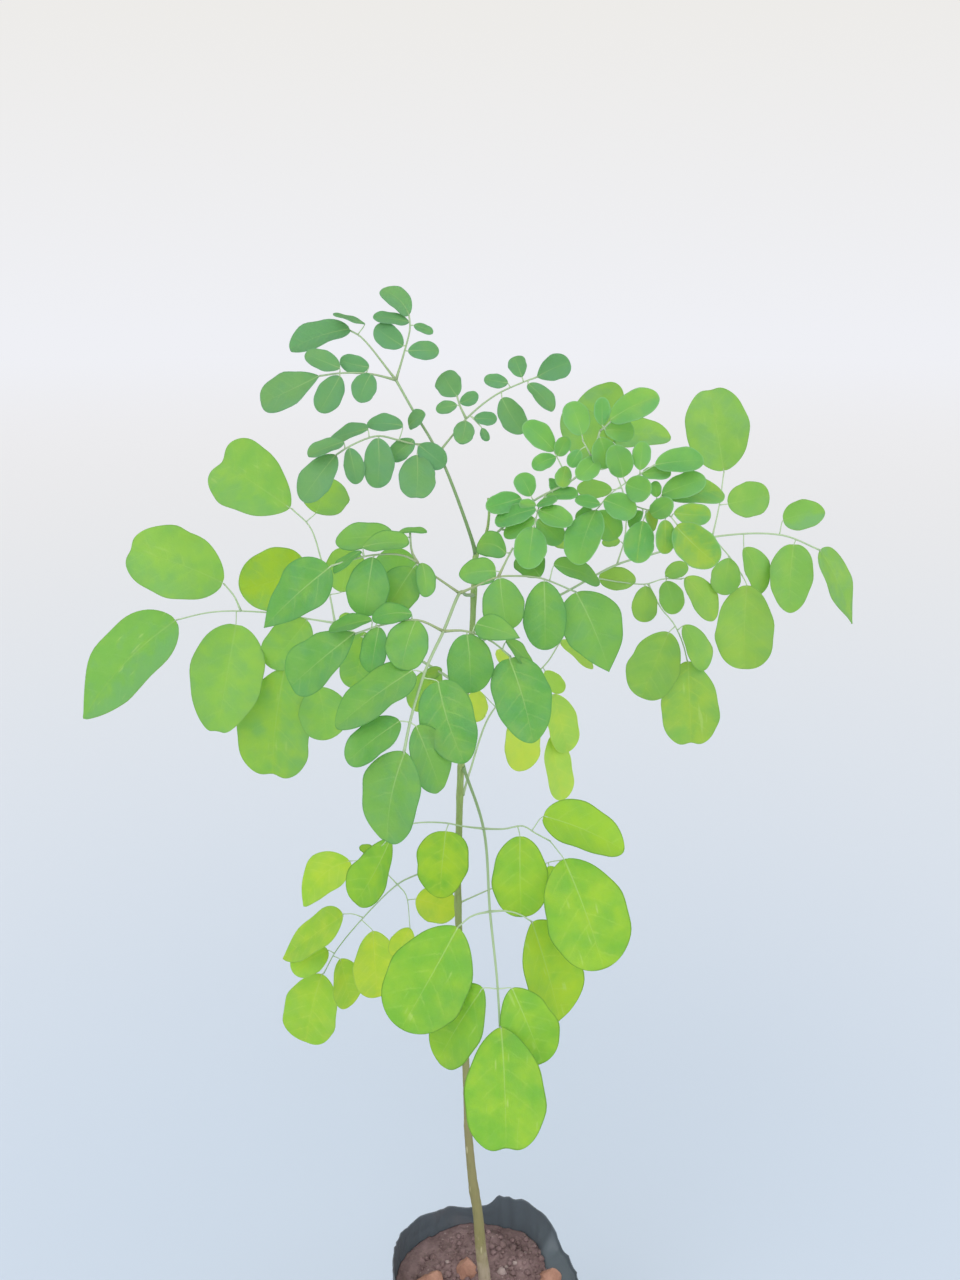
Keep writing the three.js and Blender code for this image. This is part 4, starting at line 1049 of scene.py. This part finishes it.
def leaf_finish(name, looks, colours, plant):
    """Living leaf: pale midrib and side veins, cool patches that are partly a painted sky reflection, yellow
    patches, pale streaks and a thin edge line that is a painted rim highlight where it is pale.
    """
    sketch = Sketch(bpy.data.materials.new(name))
    across, share, _ = sketch.split(sketch.node("ShaderNodeUVMap", {"uv_map": "leaf_place"}))
    tone, yellow, under = sketch.split(sketch.marks("tint"))
    spot = sketch.marks("spot")
    flecks, length, inwards = sketch.split(sketch.marks("wear"))
    turned, _, _ = sketch.split(sketch.marks("turn"))
    side = abs(across - 0.5) * 2
    cloudy = sketch.cloud(spot, 0.15, 2.0)
    other = sketch.cloud(sketch.moved(spot, Location=(40, 9, 3)), 0.2, 3.0)
    fine = sketch.cloud(spot, 1.1, 4.0)
    midrib, band, lateral = leaf_veins(sketch, across, share, abs(sketch.split(spot)[0]), length, fine)
    lateral = lateral * (1 - side) ** 0.4 * sketch.rise(other, 0.3, 0.6)
    net = 1 - sketch.rise(sketch.cells(spot, 0.8), 0.0, 0.14)
    body = sketch.blend(sketch.rise(tone * 0.5 + cloudy * 0.6, 0.3, 0.85), colours.deep, colours.light)
    # Cool patches: a bluish tint by noise and towards the edges, plus a painted sky reflection, bluer on the
    # half of a leaflet that lies lower
    cool = sketch.rise(other + side * 0.12 + (fine - 0.5) * 0.2 - turned * 0.3, 0.4, 0.8)
    cool = cool * (looks["cool_tint_and_sheen_share"] - yellow.math("MINIMUM", 0.0))
    body = sketch.blend(cool, body, colours.cool)
    near_vein = band * 0.1 + lateral * 0.25
    patches = sketch.rise(cloudy + yellow * 0.35 + near_vein + (fine - 0.5) * 0.3 - side * 0.05, 0.4, 1.0)
    golden = band * flecks * sketch.rise(fine + cloudy * 0.6, 0.65, 0.95) * looks.get("gold", 0.25)
    body = sketch.blend((patches * yellow).math("MAXIMUM", golden), body, colours.yellow_tint)
    veins = (midrib * (0.2 + (1 - share) * 0.6) * looks["ribs"]).math("MAXIMUM", lateral * 0.2)
    rib = [between(pair, 0.65) for pair in zip(colours.light, plant.rib_colour)]
    body = sketch.blend(veins.math("MAXIMUM", net * 0.05), body, rib)
    streaks = sketch.cloud(sketch.moved(spot, Rotation=(0, 0, 0.25), Scale=(1.0, 0.16, 1.0)), 0.8, 0.0)
    streaks = sketch.rise(streaks + (cloudy - 0.5) * 0.35 - side * 0.05, 0.72, 0.84)
    body = sketch.blend(streaks * flecks * 0.6, body, plant.fleck_colour)
    # Thin line round each leaflet in the frond's edge colour: a painted rim highlight where that colour is
    # paler than the leaf
    body = sketch.blend((1 - sketch.rise(inwards, 0.12, 0.5)) * 0.7, body, colours.edge)
    body = sketch.blend(under * 0.2, body, [between((c, 1), 0.4) for c in colours.light])
    height = fine * 0.2 + lateral * 0.35 + midrib * 0.3 + net * 0.2
    surface = sketch.surface(body, 0.5 + fine * 0.2, 1 - height, 0.0002, 0.6, gloss=0.3)
    shine = [min(1.0, c * tint) for c, tint in zip(colours.light, GLOW_TINT)]
    return sketch.finish(sketch.glowing(plant.leaf_glow, surface, shine))


def stalk_finish(plant):
    """Young stalk: olive green where it is older, pale green at its ends, with fine grooves."""
    sketch, where = new_sketch("young_stalk")
    age, brown, _ = sketch.split(sketch.marks("tint"))
    fine = sketch.cloud(where, 900.0)
    aged = sketch.rise(age + (sketch.cloud(where, 90.0) - 0.5) * 0.2, -0.1, 1.0)
    body = sketch.blend(aged, plant.stalk_young, plant.stalk_old)
    body = sketch.blend(brown * 0.8, body, plant.stalk_brown)
    surface = sketch.surface(body, 0.45 + fine * 0.2, fine, 0.00015, 0.5)
    return sketch.finish(sketch.glowing(STALK_GLOW, surface, paint(0xb8d4a0)))


def bark_finish(settings):
    """Stem: grey-beige and scurfy at the foot, olive in the middle and green at the tip."""
    sketch, where = new_sketch("young_bark")
    height = sketch.split(where)[2] / (BARK_TOP * MM)
    stretched = sketch.moved(where, Scale=(1.0, 1.0, 0.22))
    streaks = sketch.cloud(stretched, 900.0, 4.0)
    blotches = sketch.cloud(where, 220.0, 3.0)
    ramp = [(0.0, settings.root), (0.262, settings.foot), (0.29, settings.lower), (0.4, settings.lower),
            (0.7, settings.upper), (0.95, settings.tip)]
    body = sketch.node("ShaderNodeValToRGB", {"stops": ramp}, {"Fac": height + (blotches - 0.5) * 0.05})
    body = sketch.blend(sketch.rise(streaks, 0.45, 0.75) * 0.35, body, paint(0x6d6a42))
    dots = 1 - sketch.rise(sketch.cells(stretched, 420.0, "F1"), 0.08, 0.2)
    body = sketch.blend(dots * 0.6, body, paint(0xc9c29b))
    return sketch.finish(sketch.surface(body, 0.6 + streaks * 0.2, streaks + dots * 0.6, 0.0004, 0.7))


def film_finish(settings):
    """Black nursery film with a soft sheen, fine crinkles and dried soil dust."""
    sketch, where = new_sketch("nursery_film")
    grain = sketch.cloud(where, 420.0, 5.0)
    dust = sketch.rise(sketch.cloud(where, 34.0, 6.0, 0.65), 0.5, 0.78)
    body = sketch.blend(dust * 0.28, settings.film, settings.dust)
    roughness = 0.44 + dust * 0.3 + (grain - 0.5) * 0.12
    relief = sketch.cells(where, 160.0) * 0.8 + grain * 0.35
    return sketch.finish(sketch.surface(body, roughness, relief, 0.0006, 0.45, gloss=0.3))


def earth(sketch, lumps, grain, lows, colours):
    """Colour and relief of soil or clay: dark in its hollows, pale on its lumps and dusty in its grain."""
    dark, pale, dust = colours
    body = sketch.blend(sketch.rise(lumps, lows[0], 0.7), dark, pale)
    body = sketch.blend(sketch.rise(grain, lows[1], lows[1] + 0.3) * 0.4, body, dust)
    return body, lumps * 0.6 + grain * 0.5


def soil_finish(settings):
    """Dry reddish-brown soil with darker hollows and a few pale grains."""
    sketch, where = new_sketch("red_soil")
    grain = sketch.cloud(where, 900.0, 4.0, 0.7)
    colours = (settings.soil_dark, settings.soil_pale, paint(0xa28b89))
    body, relief = earth(sketch, sketch.cloud(where, 130.0, 6.0, 0.65), grain, (0.3, 0.45), colours)
    specks = 1 - sketch.rise(sketch.cells(where, 260.0, "F1"), 0.07, 0.13)
    stony = sketch.split(sketch.marks("tint"))[0]
    body = sketch.blend((specks * 0.45).math("MAXIMUM", stony * 0.7), body, paint(0xb9aaa8))
    return sketch.finish(sketch.surface(body, 0.86 + (grain - 0.5) * 0.15, relief, 0.0008, 0.7, gloss=0.2))


def clay_finish(settings):
    """Broken fired clay: terracotta with darker pits and soil rubbed into it."""
    sketch, where = new_sketch("fired_clay")
    grain = sketch.cloud(where, 1300.0, 4.0, 0.7)
    colours = (settings.clay_dark, settings.clay_pale, paint(0x957064))
    body, relief = earth(sketch, sketch.cloud(where, 160.0, 5.0, 0.6), grain, (0.35, 0.5), colours)
    return sketch.finish(sketch.surface(body, 0.82 + (grain - 0.5) * 0.15, relief, 0.0008, 0.8, gloss=0.25))


def floor_finish(near, far, sky):
    """Plain pale studio floor with a painted shadow round the bag, darker and cooler there and whiter far
    away, where it glows in the backdrop's colour to meet it.
    """
    sketch, where = new_sketch("studio_floor")
    distance = sketch.node("ShaderNodeVectorMath", {"operation": "LENGTH"}, {0: where}, output="Value")
    share = distance.math("LOGARITHM", 10.0) * 0.62 + 0.42
    # Painted shadow: the floor is darker and bluer near the bag and fades to white further out
    body = sketch.blend(sketch.rise(share, 0.0, 1.0), near, far)
    matt = {"Base Color": body, "Roughness": 0.9, "Specular IOR Level": 0.1}
    surface = sketch.node("ShaderNodeBsdfPrincipled", {}, matt)
    # Far away the floor glows in the backdrop's colour
    backdrop_glow = sketch.node("ShaderNodeEmission", {}, {"Color": sky})
    away = sketch.rise(share, 0.45, 1.25)
    return sketch.finish(sketch.node("ShaderNodeMixShader", {}, {0: away, 1: surface, 2: backdrop_glow}))


class Pot:
    """Sizes of the bag and its soil in millimetres, taken from the settings."""

    def __init__(self, settings):
        self.height = settings.height / MM
        self.base = settings.base_radius / MM
        self.belly = settings.belly_radius / MM
        self.rim = settings.rim_radius / MM
        self.soil = settings.soil_level / MM
        self.mound = settings.mound / MM
        self.tuck = settings.tuck / MM


def bag_radius(pot, z):
    """Radius of the filled bag by height."""
    share = z / pot.height
    side = between((pot.base, pot.rim), min(1, share / FLARE_SHARE))
    return side + (pot.belly - pot.rim) * math.sin(math.pi * share)


def rim_at(angle):
    """Radius and height of the rim at an angle, eased between the rim's points."""
    degrees = math.degrees(angle) % 360
    for (start, *low), (end, *high) in zip(RIM, RIM[1:]):
        if degrees < end:
            return [between(ends, ease(start, end, degrees)) for ends in zip(low, high)]
    return RIM[-1][1:]


def slumped(pot, point):
    """Point of the round bag, moved by its soft creases and its crumpled rim."""
    radius = math.hypot(point.x, point.y)
    if radius == 0:
        return point
    angle = math.atan2(point.y, point.x)
    rim_radius, rim_height = rim_at(angle)
    broad, fine = (math.sin(count * angle + 1) for count in CREASE_COUNTS)
    crease = CREASE * ease(0, pot.height, point.z) * (broad + 0.5 * fine)
    neck = (rim_radius - pot.rim) * ease(pot.height * NECK_SHARE, pot.height, point.z)
    outwards = 1 + (crease + neck) * min(1, radius / pot.base) / radius
    lift = (rim_height - pot.height) * ease(pot.soil, pot.height, point.z)
    return Vector((point.x * outwards, point.y * outwards, point.z + lift))


def folds_at(angle, z):
    """How strong each kind of fold is at a place: sharp crests, as creased film has, and crinkles."""
    folds = {kind: 1 - 2 * abs(noise.noise(polar(spread, angle, z / tall + start)))
             for kind, (spread, tall, start) in FOLDS.items()}
    spread, tall = CRINKLES
    folds["crinkle"] = noise.noise(polar(spread, angle, z / tall))
    return folds


def film_crumple(pot, angle, z):
    """How far the film stands out or in at an angle and height."""
    free = ease(pot.soil - FREE_BELOW_SOIL, pot.height - FREE_BELOW_RIM, z)
    base = 1 - ease(0, BASE_FOLDS_TOP, z)
    folds = folds_at(angle, z)
    rises = ((1, PRESSED_FOLDS), (free, LOOSE_FOLDS), (base, BASE_FOLDS))
    crumple = sum(share * rise * folds[kind] for share, kinds in rises for kind, rise in kinds.items())
    apart = (math.degrees(angle) - TUCK_ANGLE + 180) % 360 - 180
    tuck = math.exp(-(apart / TUCK_SPREAD) ** 2 - ((z - pot.soil) / TUCK_RISE) ** 2)
    return crumple - FILM_PULL - pot.tuck * tuck


def film_point(pot, angle, z, inwards):
    """Point of the bag's film, on its outer face or inwards of it."""
    radius = bag_radius(pot, z) + film_crumple(pot, angle, z) - inwards
    point = slumped(pot, polar(radius, angle, z))
    ragged = ease(pot.height - RAGGED_TOP, pot.height, z)
    point.z += ragged * RAGGED_RISE * noise.noise(polar(RAGGED_SPREAD, angle, 4))
    return point


def make_bag(pot, finish):
    """Bag of thin film: a flat base, soft sides that sag round the soil, and a crumpled open rim."""
    form = Form()
    outer, inner = [], []
    for step in range(BAG_HEIGHTS + 1):
        z = pot.height * (1 - (1 - step / BAG_HEIGHTS) ** BAG_CROWDING)
        outer.append([])
        inner.append([])
        for angle in turns(BAG_STEPS):
            outer[-1].append(form.add_point(film_point(pot, angle, z, 0)))
            inner[-1].append(form.add_point(film_point(pot, angle, max(z, FILM), FILM)))
    form.add_skin(outer, closed=True)
    form.add_skin(inner, closed=True, inside_out=True)
    form.add_strip(outer[-1], inner[-1], closed=True)
    close_base(form, outer[0], 0.0, inside_out=True)
    close_base(form, inner[0], FILM, inside_out=False)
    return form.build("bag_film", [finish])


def close_base(form, ring, z, inside_out):
    """Fills a ring of the bag's base with smaller rings and a middle point."""
    rows = [ring]
    for share in BASE_RINGS:
        points = [form.points[corner] * share for corner in ring]
        rows.append([form.add_point(Vector((point.x, point.y, z))) for point in points])
    form.add_skin(rows, closed=True, inside_out=inside_out)
    form.add_fan(rows[-1], Vector((0, 0, z)), inside_out=inside_out)


def on_soil(pot, x, y):
    """Point of the soil's surface."""
    radius = math.hypot(x, y)
    flat = 1 - ease(BUMPY_RADIUS - BUMPS_FADE, BUMPY_RADIUS + BUMPS_FADE, radius)
    long, middle, short = BUMP_WIDTHS
    bump = math.sin(x / long + 1) * math.cos(y / middle) + 0.5 * math.sin((x + y) / short)
    mound = pot.mound * math.exp(-(radius / MOUND_RADIUS) ** 2)
    spot = Vector((x / CRUMBLE_WIDTH, y / CRUMBLE_WIDTH, 1))
    crumbly = CRUMBLE_RISE * noise.fractal(spot, *CRUMBLE_LAYERS)
    return Vector((x, y, pot.soil + flat * (BUMP_HEIGHT * bump + mound) + crumbly))


def soil_wall(pot, angle, z):
    """Radius of the soil where it meets the film."""
    point = film_point(pot, angle, z, FILM + SOIL_GAP)
    return math.hypot(point.x, point.y)


def make_soil(pot, crumbs, finish):
    """Soil that fills the bag, with a crumbly top and loose crumbs on it."""
    form = Form()
    angles = turns(SOIL_STEPS)
    reaches = [soil_wall(pot, angle, pot.soil) for angle in angles]
    rows = []
    for ring in range(SOIL_RINGS, 0, -1):
        rows.append([form.add_point(on_soil(pot, *compass(reach * ring / SOIL_RINGS, angle)))
                     for reach, angle in zip(reaches, angles)])
    form.add_skin(rows, closed=True)
    form.add_fan(rows[-1], on_soil(pot, 0, 0))
    walls = [rows[0]]
    for z in SOIL_WALLS:
        walls.append([form.add_point(polar(soil_wall(pot, angle, z), angle, z)) for angle in angles])
    form.add_skin(walls, closed=True, inside_out=True)
    form.add_face(reversed(walls[-1]))
    for number in range(crumbs):
        radius = (pot.rim - CRUMBS_TO_RIM) * math.sqrt(draw(32, number))
        spot = on_soil(pot, *compass(radius, 2 * math.pi * draw(31, number)))
        add_crumb(form, spot, between(CRUMB_SIZES, draw(33, number) ** 3), number, 0.0)
    for number, (x, y, size) in enumerate(STONES):
        add_crumb(form, on_soil(pot, x, y), size, CRUMBS + number, 1.0)
    return form.build("soil_fill", [finish])


def add_ball(form, rings, sides, place, marks=None):
    """Adds a closed lump: place turns a direction into a point."""
    rows = []
    for ring in range(1, rings):
        level = math.pi * ring / rings
        angles = [2 * math.pi * (side + 0.5 * (ring % 2)) / sides for side in range(sides)]
        ways = [polar(math.sin(level), angle, -math.cos(level)) for angle in angles]
        rows.append([form.add_point(place(way), marks) for way in ways])
    form.add_skin(rows, closed=True)
    form.add_fan(rows[0], place(Vector((0, 0, -1))), marks, inside_out=True)
    form.add_fan(rows[-1], place(Vector((0, 0, 1))), marks)


def add_crumb(form, spot, size, number, stony):
    """Adds one crumb or small stone that lies on the soil."""
    centre = spot + Vector((0, 0, size * CRUMB_RISE))
    shift = Vector((number * 1.7, number * 0.9, 5))

    def place(way):
        lump = size * (1 + CRUMB_ROUGHNESS * noise.noise(way * CRUMB_PITCH + shift))
        return centre + Vector((way.x * lump, way.y * lump, way.z * lump * CRUMB_FLATNESS))

    add_ball(form, *CRUMB_GRID, place, {"tint": (stony, 0.0, 0.0)})


def make_clod(pot, number, clod, finish):
    """Broken lump of fired clay with blunt faces."""
    x, y, radius, turn, squash = clod
    form = Form()
    centre = Vector((x, y, pot.soil + radius * CLOD_RISE))
    cuts = [Vector([draw(turn, cut + later) - 0.5 for later in (0, 40, 80)]).normalized()
            for cut in range(CLOD_CUTS)]
    shift = Vector((turn, number * 3, 1))

    def place(way):
        facing = max(way.dot(cut) for cut in cuts)
        bumps = sum(rise * noise.noise(way * pitch + shift) for rise, pitch in CLOD_BUMPS)
        reach = radius * CLOD_FACE / max(CLOD_BLUNTNESS, facing) * (1 + bumps)
        return centre + Vector((way.x * reach, way.y * reach, way.z * reach * squash))

    add_ball(form, *CLOD_GRID, place)
    return form.build(f"clay_lump_{number}", [finish])


def stem_swelling(v):
    """Extra share of the stem's radius at its nodes and leaf scars."""
    return sum(rise * math.exp(-((v - place) / height) ** 2)
               for rise, height, places in SWELLINGS for place in places)


def make_stem(thickness_share, finish):
    """Slender stem from its tap root in the soil to its growing tip."""
    form = Form()
    shown = [seen(u, v, near) for u, v, near, _ in STEM]
    radii = [row[3] * thickness_share for row in STEM]
    x, z = shown[0].x, shown[0].z
    knots = [Vector((x, 0, ROOT_TIP)), Vector((x, 0, (ROOT_TIP + z) / 2)), *shown]
    radii = [radii[0] * share for share in ROOT_TAPER] + radii
    path = smooth_path(knots, STEM_STEP)

    def reach(number, way):
        centre = path[number]
        radius = radius_between(knots, radii, centre.z)
        spot = centre + way * radius
        bark = noise.noise(Vector((spot.x, spot.y, spot.z * BARK_STRETCH)) * BARK_GRAIN)
        return radius * (1 + stem_swelling(front_view(centre).y)) * (1 + BARK_DEPTH * bark)

    form.add_tube(path, STEM_RING, reach)
    return form.build("stem_bark", [finish])


def radius_between(knots, radii, z):
    """Radius of the stem at a height."""
    for start, end, *ends in zip(knots, knots[1:], radii, radii[1:]):
        if z <= end.z:
            return between(ends, (z - start.z) / (end.z - start.z))
    return radii[-1]


def dress(piece, node):
    """Puts a finished piece in place of its node."""
    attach(piece, "root")
    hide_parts(node)


def tint_property(title, text, colour):
    """Property for a colour."""
    return FloatVectorProperty(name=title, description=text, subtype="COLOR", size=3, default=colour)


def colour_property(title, text, code):
    """Property for a colour, from its usual six-figure code."""
    return tint_property(title, text, paint(code))


def length_property(title, text, millimetres):
    """Property for a length."""
    return FloatProperty(name=title, description=text, default=millimetres * MM, unit="LENGTH", precision=5)


def share_property(title, text, default=1.0, low=0.5, high=2.0):
    """Property for a share."""
    return FloatProperty(name=title, description=text, default=default, min=low, max=high, subtype="FACTOR")


class MoringaPot(bpy.types.PropertyGroup):
    """Bag, soil and clay lumps."""

    height: length_property("Bag height", "Height of the bag's sides, before the rim crumples", 120)
    base_radius: length_property("Base radius", "Radius of the bag's flat base", 31)
    belly_radius: length_property("Belly radius", "Radius half way up the bag", 35)
    rim_radius: length_property("Rim radius", "Radius of the bag's mouth", 33.5)
    tuck: length_property("Tuck", "Depth of the fold that presses the film in at the right", 9.5)
    soil_level: length_property("Soil level", "Height of the soil's surface", 107.5)
    mound: length_property("Mound", "Height of the mound round the stem", 2.2)
    crumbs: IntProperty(name="Crumbs", description="Number of loose crumbs on the soil", min=0,
                        default=CRUMBS)
    film: colour_property("Film", "Black film of the bag", 0x566069)
    dust: colour_property("Dust", "Dried soil on the film", 0x85787A)
    soil_dark: colour_property("Dark soil", "Hollows of the soil", 0x6E5A5B)
    soil_pale: colour_property("Pale soil", "Dry tops of the soil", 0x907A7C)
    clay_dark: colour_property("Dark clay", "Pits of the clay lumps", 0xA67C6C)
    clay_pale: colour_property("Pale clay", "Rubbed faces of the clay lumps", 0xBE9382)


class MoringaStem(bpy.types.PropertyGroup):
    """Stem of the plant."""

    thickness: share_property("Thickness", "Share of the stem's natural thickness")
    root: colour_property("Root", "Bark in the soil", 0xB5AAA1)
    foot: colour_property("Foot", "Scurfy bark just above the soil", 0xACA08C)
    lower: colour_property("Lower stem", "Olive bark of the lower stem", 0x847F54)
    upper: colour_property("Upper stem", "Green bark of the upper stem", 0x90A964)
    tip: colour_property("Tip", "Green bark at the growing tip", 0x92B46D)


class MoringaLeaves(bpy.types.PropertyGroup):
    """What all fronds have in common."""

    leaf_thickness: length_property("Leaf thickness", "Thickness in the middle of a leaflet", 0.34)
    stalk_share: share_property("Stalk thickness", "Share of the stalks' natural thickness")
    leaf_glow: share_property("Glow", "Share of the light that shines through a leaflet", 0.5, 0.0, 1.0)
    rib_colour: colour_property("Ribs", "Pale midribs and veins", 0xD8F2B0)
    fleck_colour: colour_property("Flecks", "Pale flecks of worn leaflets", 0xD6EB98)
    stalk_young: colour_property("Young stalk", "Pale ends of the stalks", 0xC8DCB8)
    stalk_old: colour_property("Old stalk", "Olive green feet of the stalks", 0x6C9456)
    stalk_brown: colour_property("Brown stalk", "Brownish feet of the side stalks", 0x8F9150)


class MoringaStage(bpy.types.PropertyGroup):
    """Camera, floor and light of the studio."""

    lens: FloatProperty(name="Lens", description="Focal length of the camera", default=32.34, unit="CAMERA")
    floor_radius: length_property("Floor radius", "Reach of the floor", 60 / MM)
    # The floor at the bag is darker and bluer than the far floor: a painted shadow round the bag
    floor_shaded_near: tint_property("Floor at the bag", "Pale cool paint of the floor", (0.58, 0.67, 0.8))
    floor_far: tint_property("Far floor", "White paint of the floor far away", (0.95, 0.95, 0.97))
    sky_top: colour_property("Upper backdrop", "Warm white high behind the plant", 0xEDEBE7)
    sky_low: colour_property("Lower backdrop", "Cool white low behind the plant", 0xEFF0F5)
    key_power: FloatProperty(name="Key light", description="Power of the large key light", default=52.0)
    fill_power: FloatProperty(name="Fill light", description="Power of the fill light", default=24.0)


def frond_group(name):
    """Property group for the colours of one frond."""
    properties = {key: colour_property(*words, code)
                  for (key, words), code in zip(LEAF_COLOURS.items(), LOOKS[name]["colours"])}
    title = "Moringa" + name.title().replace("_", "")
    return type(title, (bpy.types.PropertyGroup,), {"__annotations__": properties})


def add_camera(settings):
    """Camera at the front view's eye."""
    data = bpy.data.cameras.new("front_camera")
    data.lens = settings.lens
    data.sensor_width = 36
    data.clip_start = 0.01
    data.clip_end = 50
    camera = add_object("front_camera", data)
    camera.location = EYE * MM
    camera.rotation_euler = (math.pi / 2 - VIEW_TILT, 0, 0)
    bpy.context.scene.camera = camera


def add_floor(settings):
    """Wide round floor just under the bag."""
    form = Form()
    rows = []
    for share in FLOOR_RINGS:
        radius = settings.floor_radius / MM * share
        rows.append([form.add_point(polar(radius, angle, -FLOOR_DROP)) for angle in turns(FLOOR_SIDES)])
    form.add_skin(rows, closed=True)
    form.add_face(rows[-1])
    finish = floor_finish(settings.floor_shaded_near, settings.floor_far, settings.sky_low)
    form.build("studio_floor", [finish])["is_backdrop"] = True


def add_backdrop(settings):
    """Pale surroundings that light the plant evenly from all sides."""
    sketch = Sketch(bpy.data.worlds.new("pale_backdrop"))
    upwards = sketch.split(sketch.node("ShaderNodeTexCoord", output="Generated"))[2]
    stops = [(0.0, settings.sky_low), (0.28, settings.sky_top)]
    colour = sketch.node("ShaderNodeValToRGB", {"stops": stops}, {"Fac": upwards})
    light = sketch.node("ShaderNodeBackground", {}, {"Color": colour})
    bpy.context.scene.world = sketch.finish(light, "ShaderNodeOutputWorld")


def add_lamp(name, power):
    """Large soft square lamp that faces the plant."""
    data = bpy.data.lights.new(name + "_light", "AREA")
    data.size = LAMP_SIZE
    data.energy = power
    lamp = add_object(name + "_light", data)
    lamp.location = LAMPS[name]
    heading = LAMP_AIM - Vector(LAMPS[name])
    lamp.rotation_euler = heading.to_track_quat("-Z", "Y").to_euler()


class MORINGA_OT_stage(bpy.types.Operator):
    """Sets up the camera, the pale floor, the backdrop light and the soft lamps"""

    bl_idname = "moringa.stage"
    bl_label = "Studio"

    def execute(self, context):
        settings = context.scene.moringa_stage
        add_camera(settings)
        add_floor(settings)
        add_backdrop(settings)
        for name in LAMPS:
            add_lamp(name, getattr(settings, name + "_power"))
        context.scene.view_settings.view_transform = "Standard"
        return {"FINISHED"}


class MORINGA_OT_bag(bpy.types.Operator):
    """Adds the soft black film bag"""

    bl_idname = "moringa.bag"
    bl_label = "Nursery bag"

    def execute(self, context):
        settings = context.scene.moringa_pot
        dress(make_bag(Pot(settings), film_finish(settings)), "bag")
        return {"FINISHED"}


class MORINGA_OT_soil(bpy.types.Operator):
    """Adds the soil with its crumbs"""

    bl_idname = "moringa.soil"
    bl_label = "Soil"

    def execute(self, context):
        settings = context.scene.moringa_pot
        dress(make_soil(Pot(settings), settings.crumbs, soil_finish(settings)), "soil")
        return {"FINISHED"}


class MORINGA_OT_clods(bpy.types.Operator):
    """Adds the lumps of fired clay"""

    bl_idname = "moringa.clods"
    bl_label = "Clay lumps"

    def execute(self, context):
        settings = context.scene.moringa_pot
        finish = clay_finish(settings)
        for number, clod in enumerate(CLODS, 1):
            dress(make_clod(Pot(settings), number, clod, finish), f"clod_{number}")
        return {"FINISHED"}


class MORINGA_OT_stem(bpy.types.Operator):
    """Adds the stem"""

    bl_idname = "moringa.stem"
    bl_label = "Stem"

    def execute(self, context):
        settings = context.scene.moringa_stem
        dress(make_stem(settings.thickness, bark_finish(settings)), "stem")
        return {"FINISHED"}


class MORINGA_OT_fronds(bpy.types.Operator):
    """Adds the nine fronds with their leaflets"""

    bl_idname = "moringa.fronds"
    bl_label = "Fronds"

    def execute(self, context):
        plant = context.scene.moringa_leaves
        stalks = stalk_finish(plant)
        for name, looks in LOOKS.items():
            form = Form()
            add_frond(form, name, looks, plant)
            slot = name.replace("frond", "leaf")
            finish = leaf_finish(slot, looks, getattr(context.scene, "moringa_" + name), plant)
            dress(form.build(name + "_leaves", [finish, stalks]), name)
        return {"FINISHED"}


class MORINGA_PT_panel(bpy.types.Panel):
    """Lists the steps that build the plant, and their settings"""

    bl_idname = "MORINGA_PT_panel"
    bl_label = "Potted Moringa"
    bl_space_type = "VIEW_3D"
    bl_region_type = "UI"
    bl_category = "Moringa"

    def draw(self, context):
        for operator in STEPS:
            self.layout.operator(operator.bl_idname)
        for name, group in GROUPS.items():
            box = self.layout.box()
            box.label(text=name.replace("moringa_", "").replace("_", " ").capitalize())
            for title in group.__annotations__:
                box.prop(getattr(context.scene, name), title)


STEPS = (MORINGA_OT_stage, MORINGA_OT_bag, MORINGA_OT_soil, MORINGA_OT_clods, MORINGA_OT_stem,
         MORINGA_OT_fronds)
GROUPS = {
    "moringa_stage": MoringaStage,
    "moringa_pot": MoringaPot,
    "moringa_stem": MoringaStem,
    "moringa_leaves": MoringaLeaves,
    **{"moringa_" + name: frond_group(name) for name in LOOKS},
}
CLASSES = (*GROUPS.values(), *STEPS, MORINGA_PT_panel)


def register():
    """Registers the classes and hangs the settings on the scene."""
    for kind in CLASSES:
        bpy.utils.register_class(kind)
    for name, group in GROUPS.items():
        setattr(bpy.types.Scene, name, PointerProperty(type=group))


def unregister():
    """Takes away all that register has added."""
    for name in GROUPS:
        delattr(bpy.types.Scene, name)
    for kind in reversed(CLASSES):
        bpy.utils.unregister_class(kind)


def main():
    """Builds the whole scene."""
    register()
    for operator in STEPS:
        group, action = operator.bl_idname.split(".")
        getattr(getattr(bpy.ops, group), action)()
    boxes = {"cad": CAD_BOX, "visual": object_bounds()}
    {name: [list(low), list(high)] for name, (low, high) in boxes.items()}


if __name__ == "__main__":
    main()
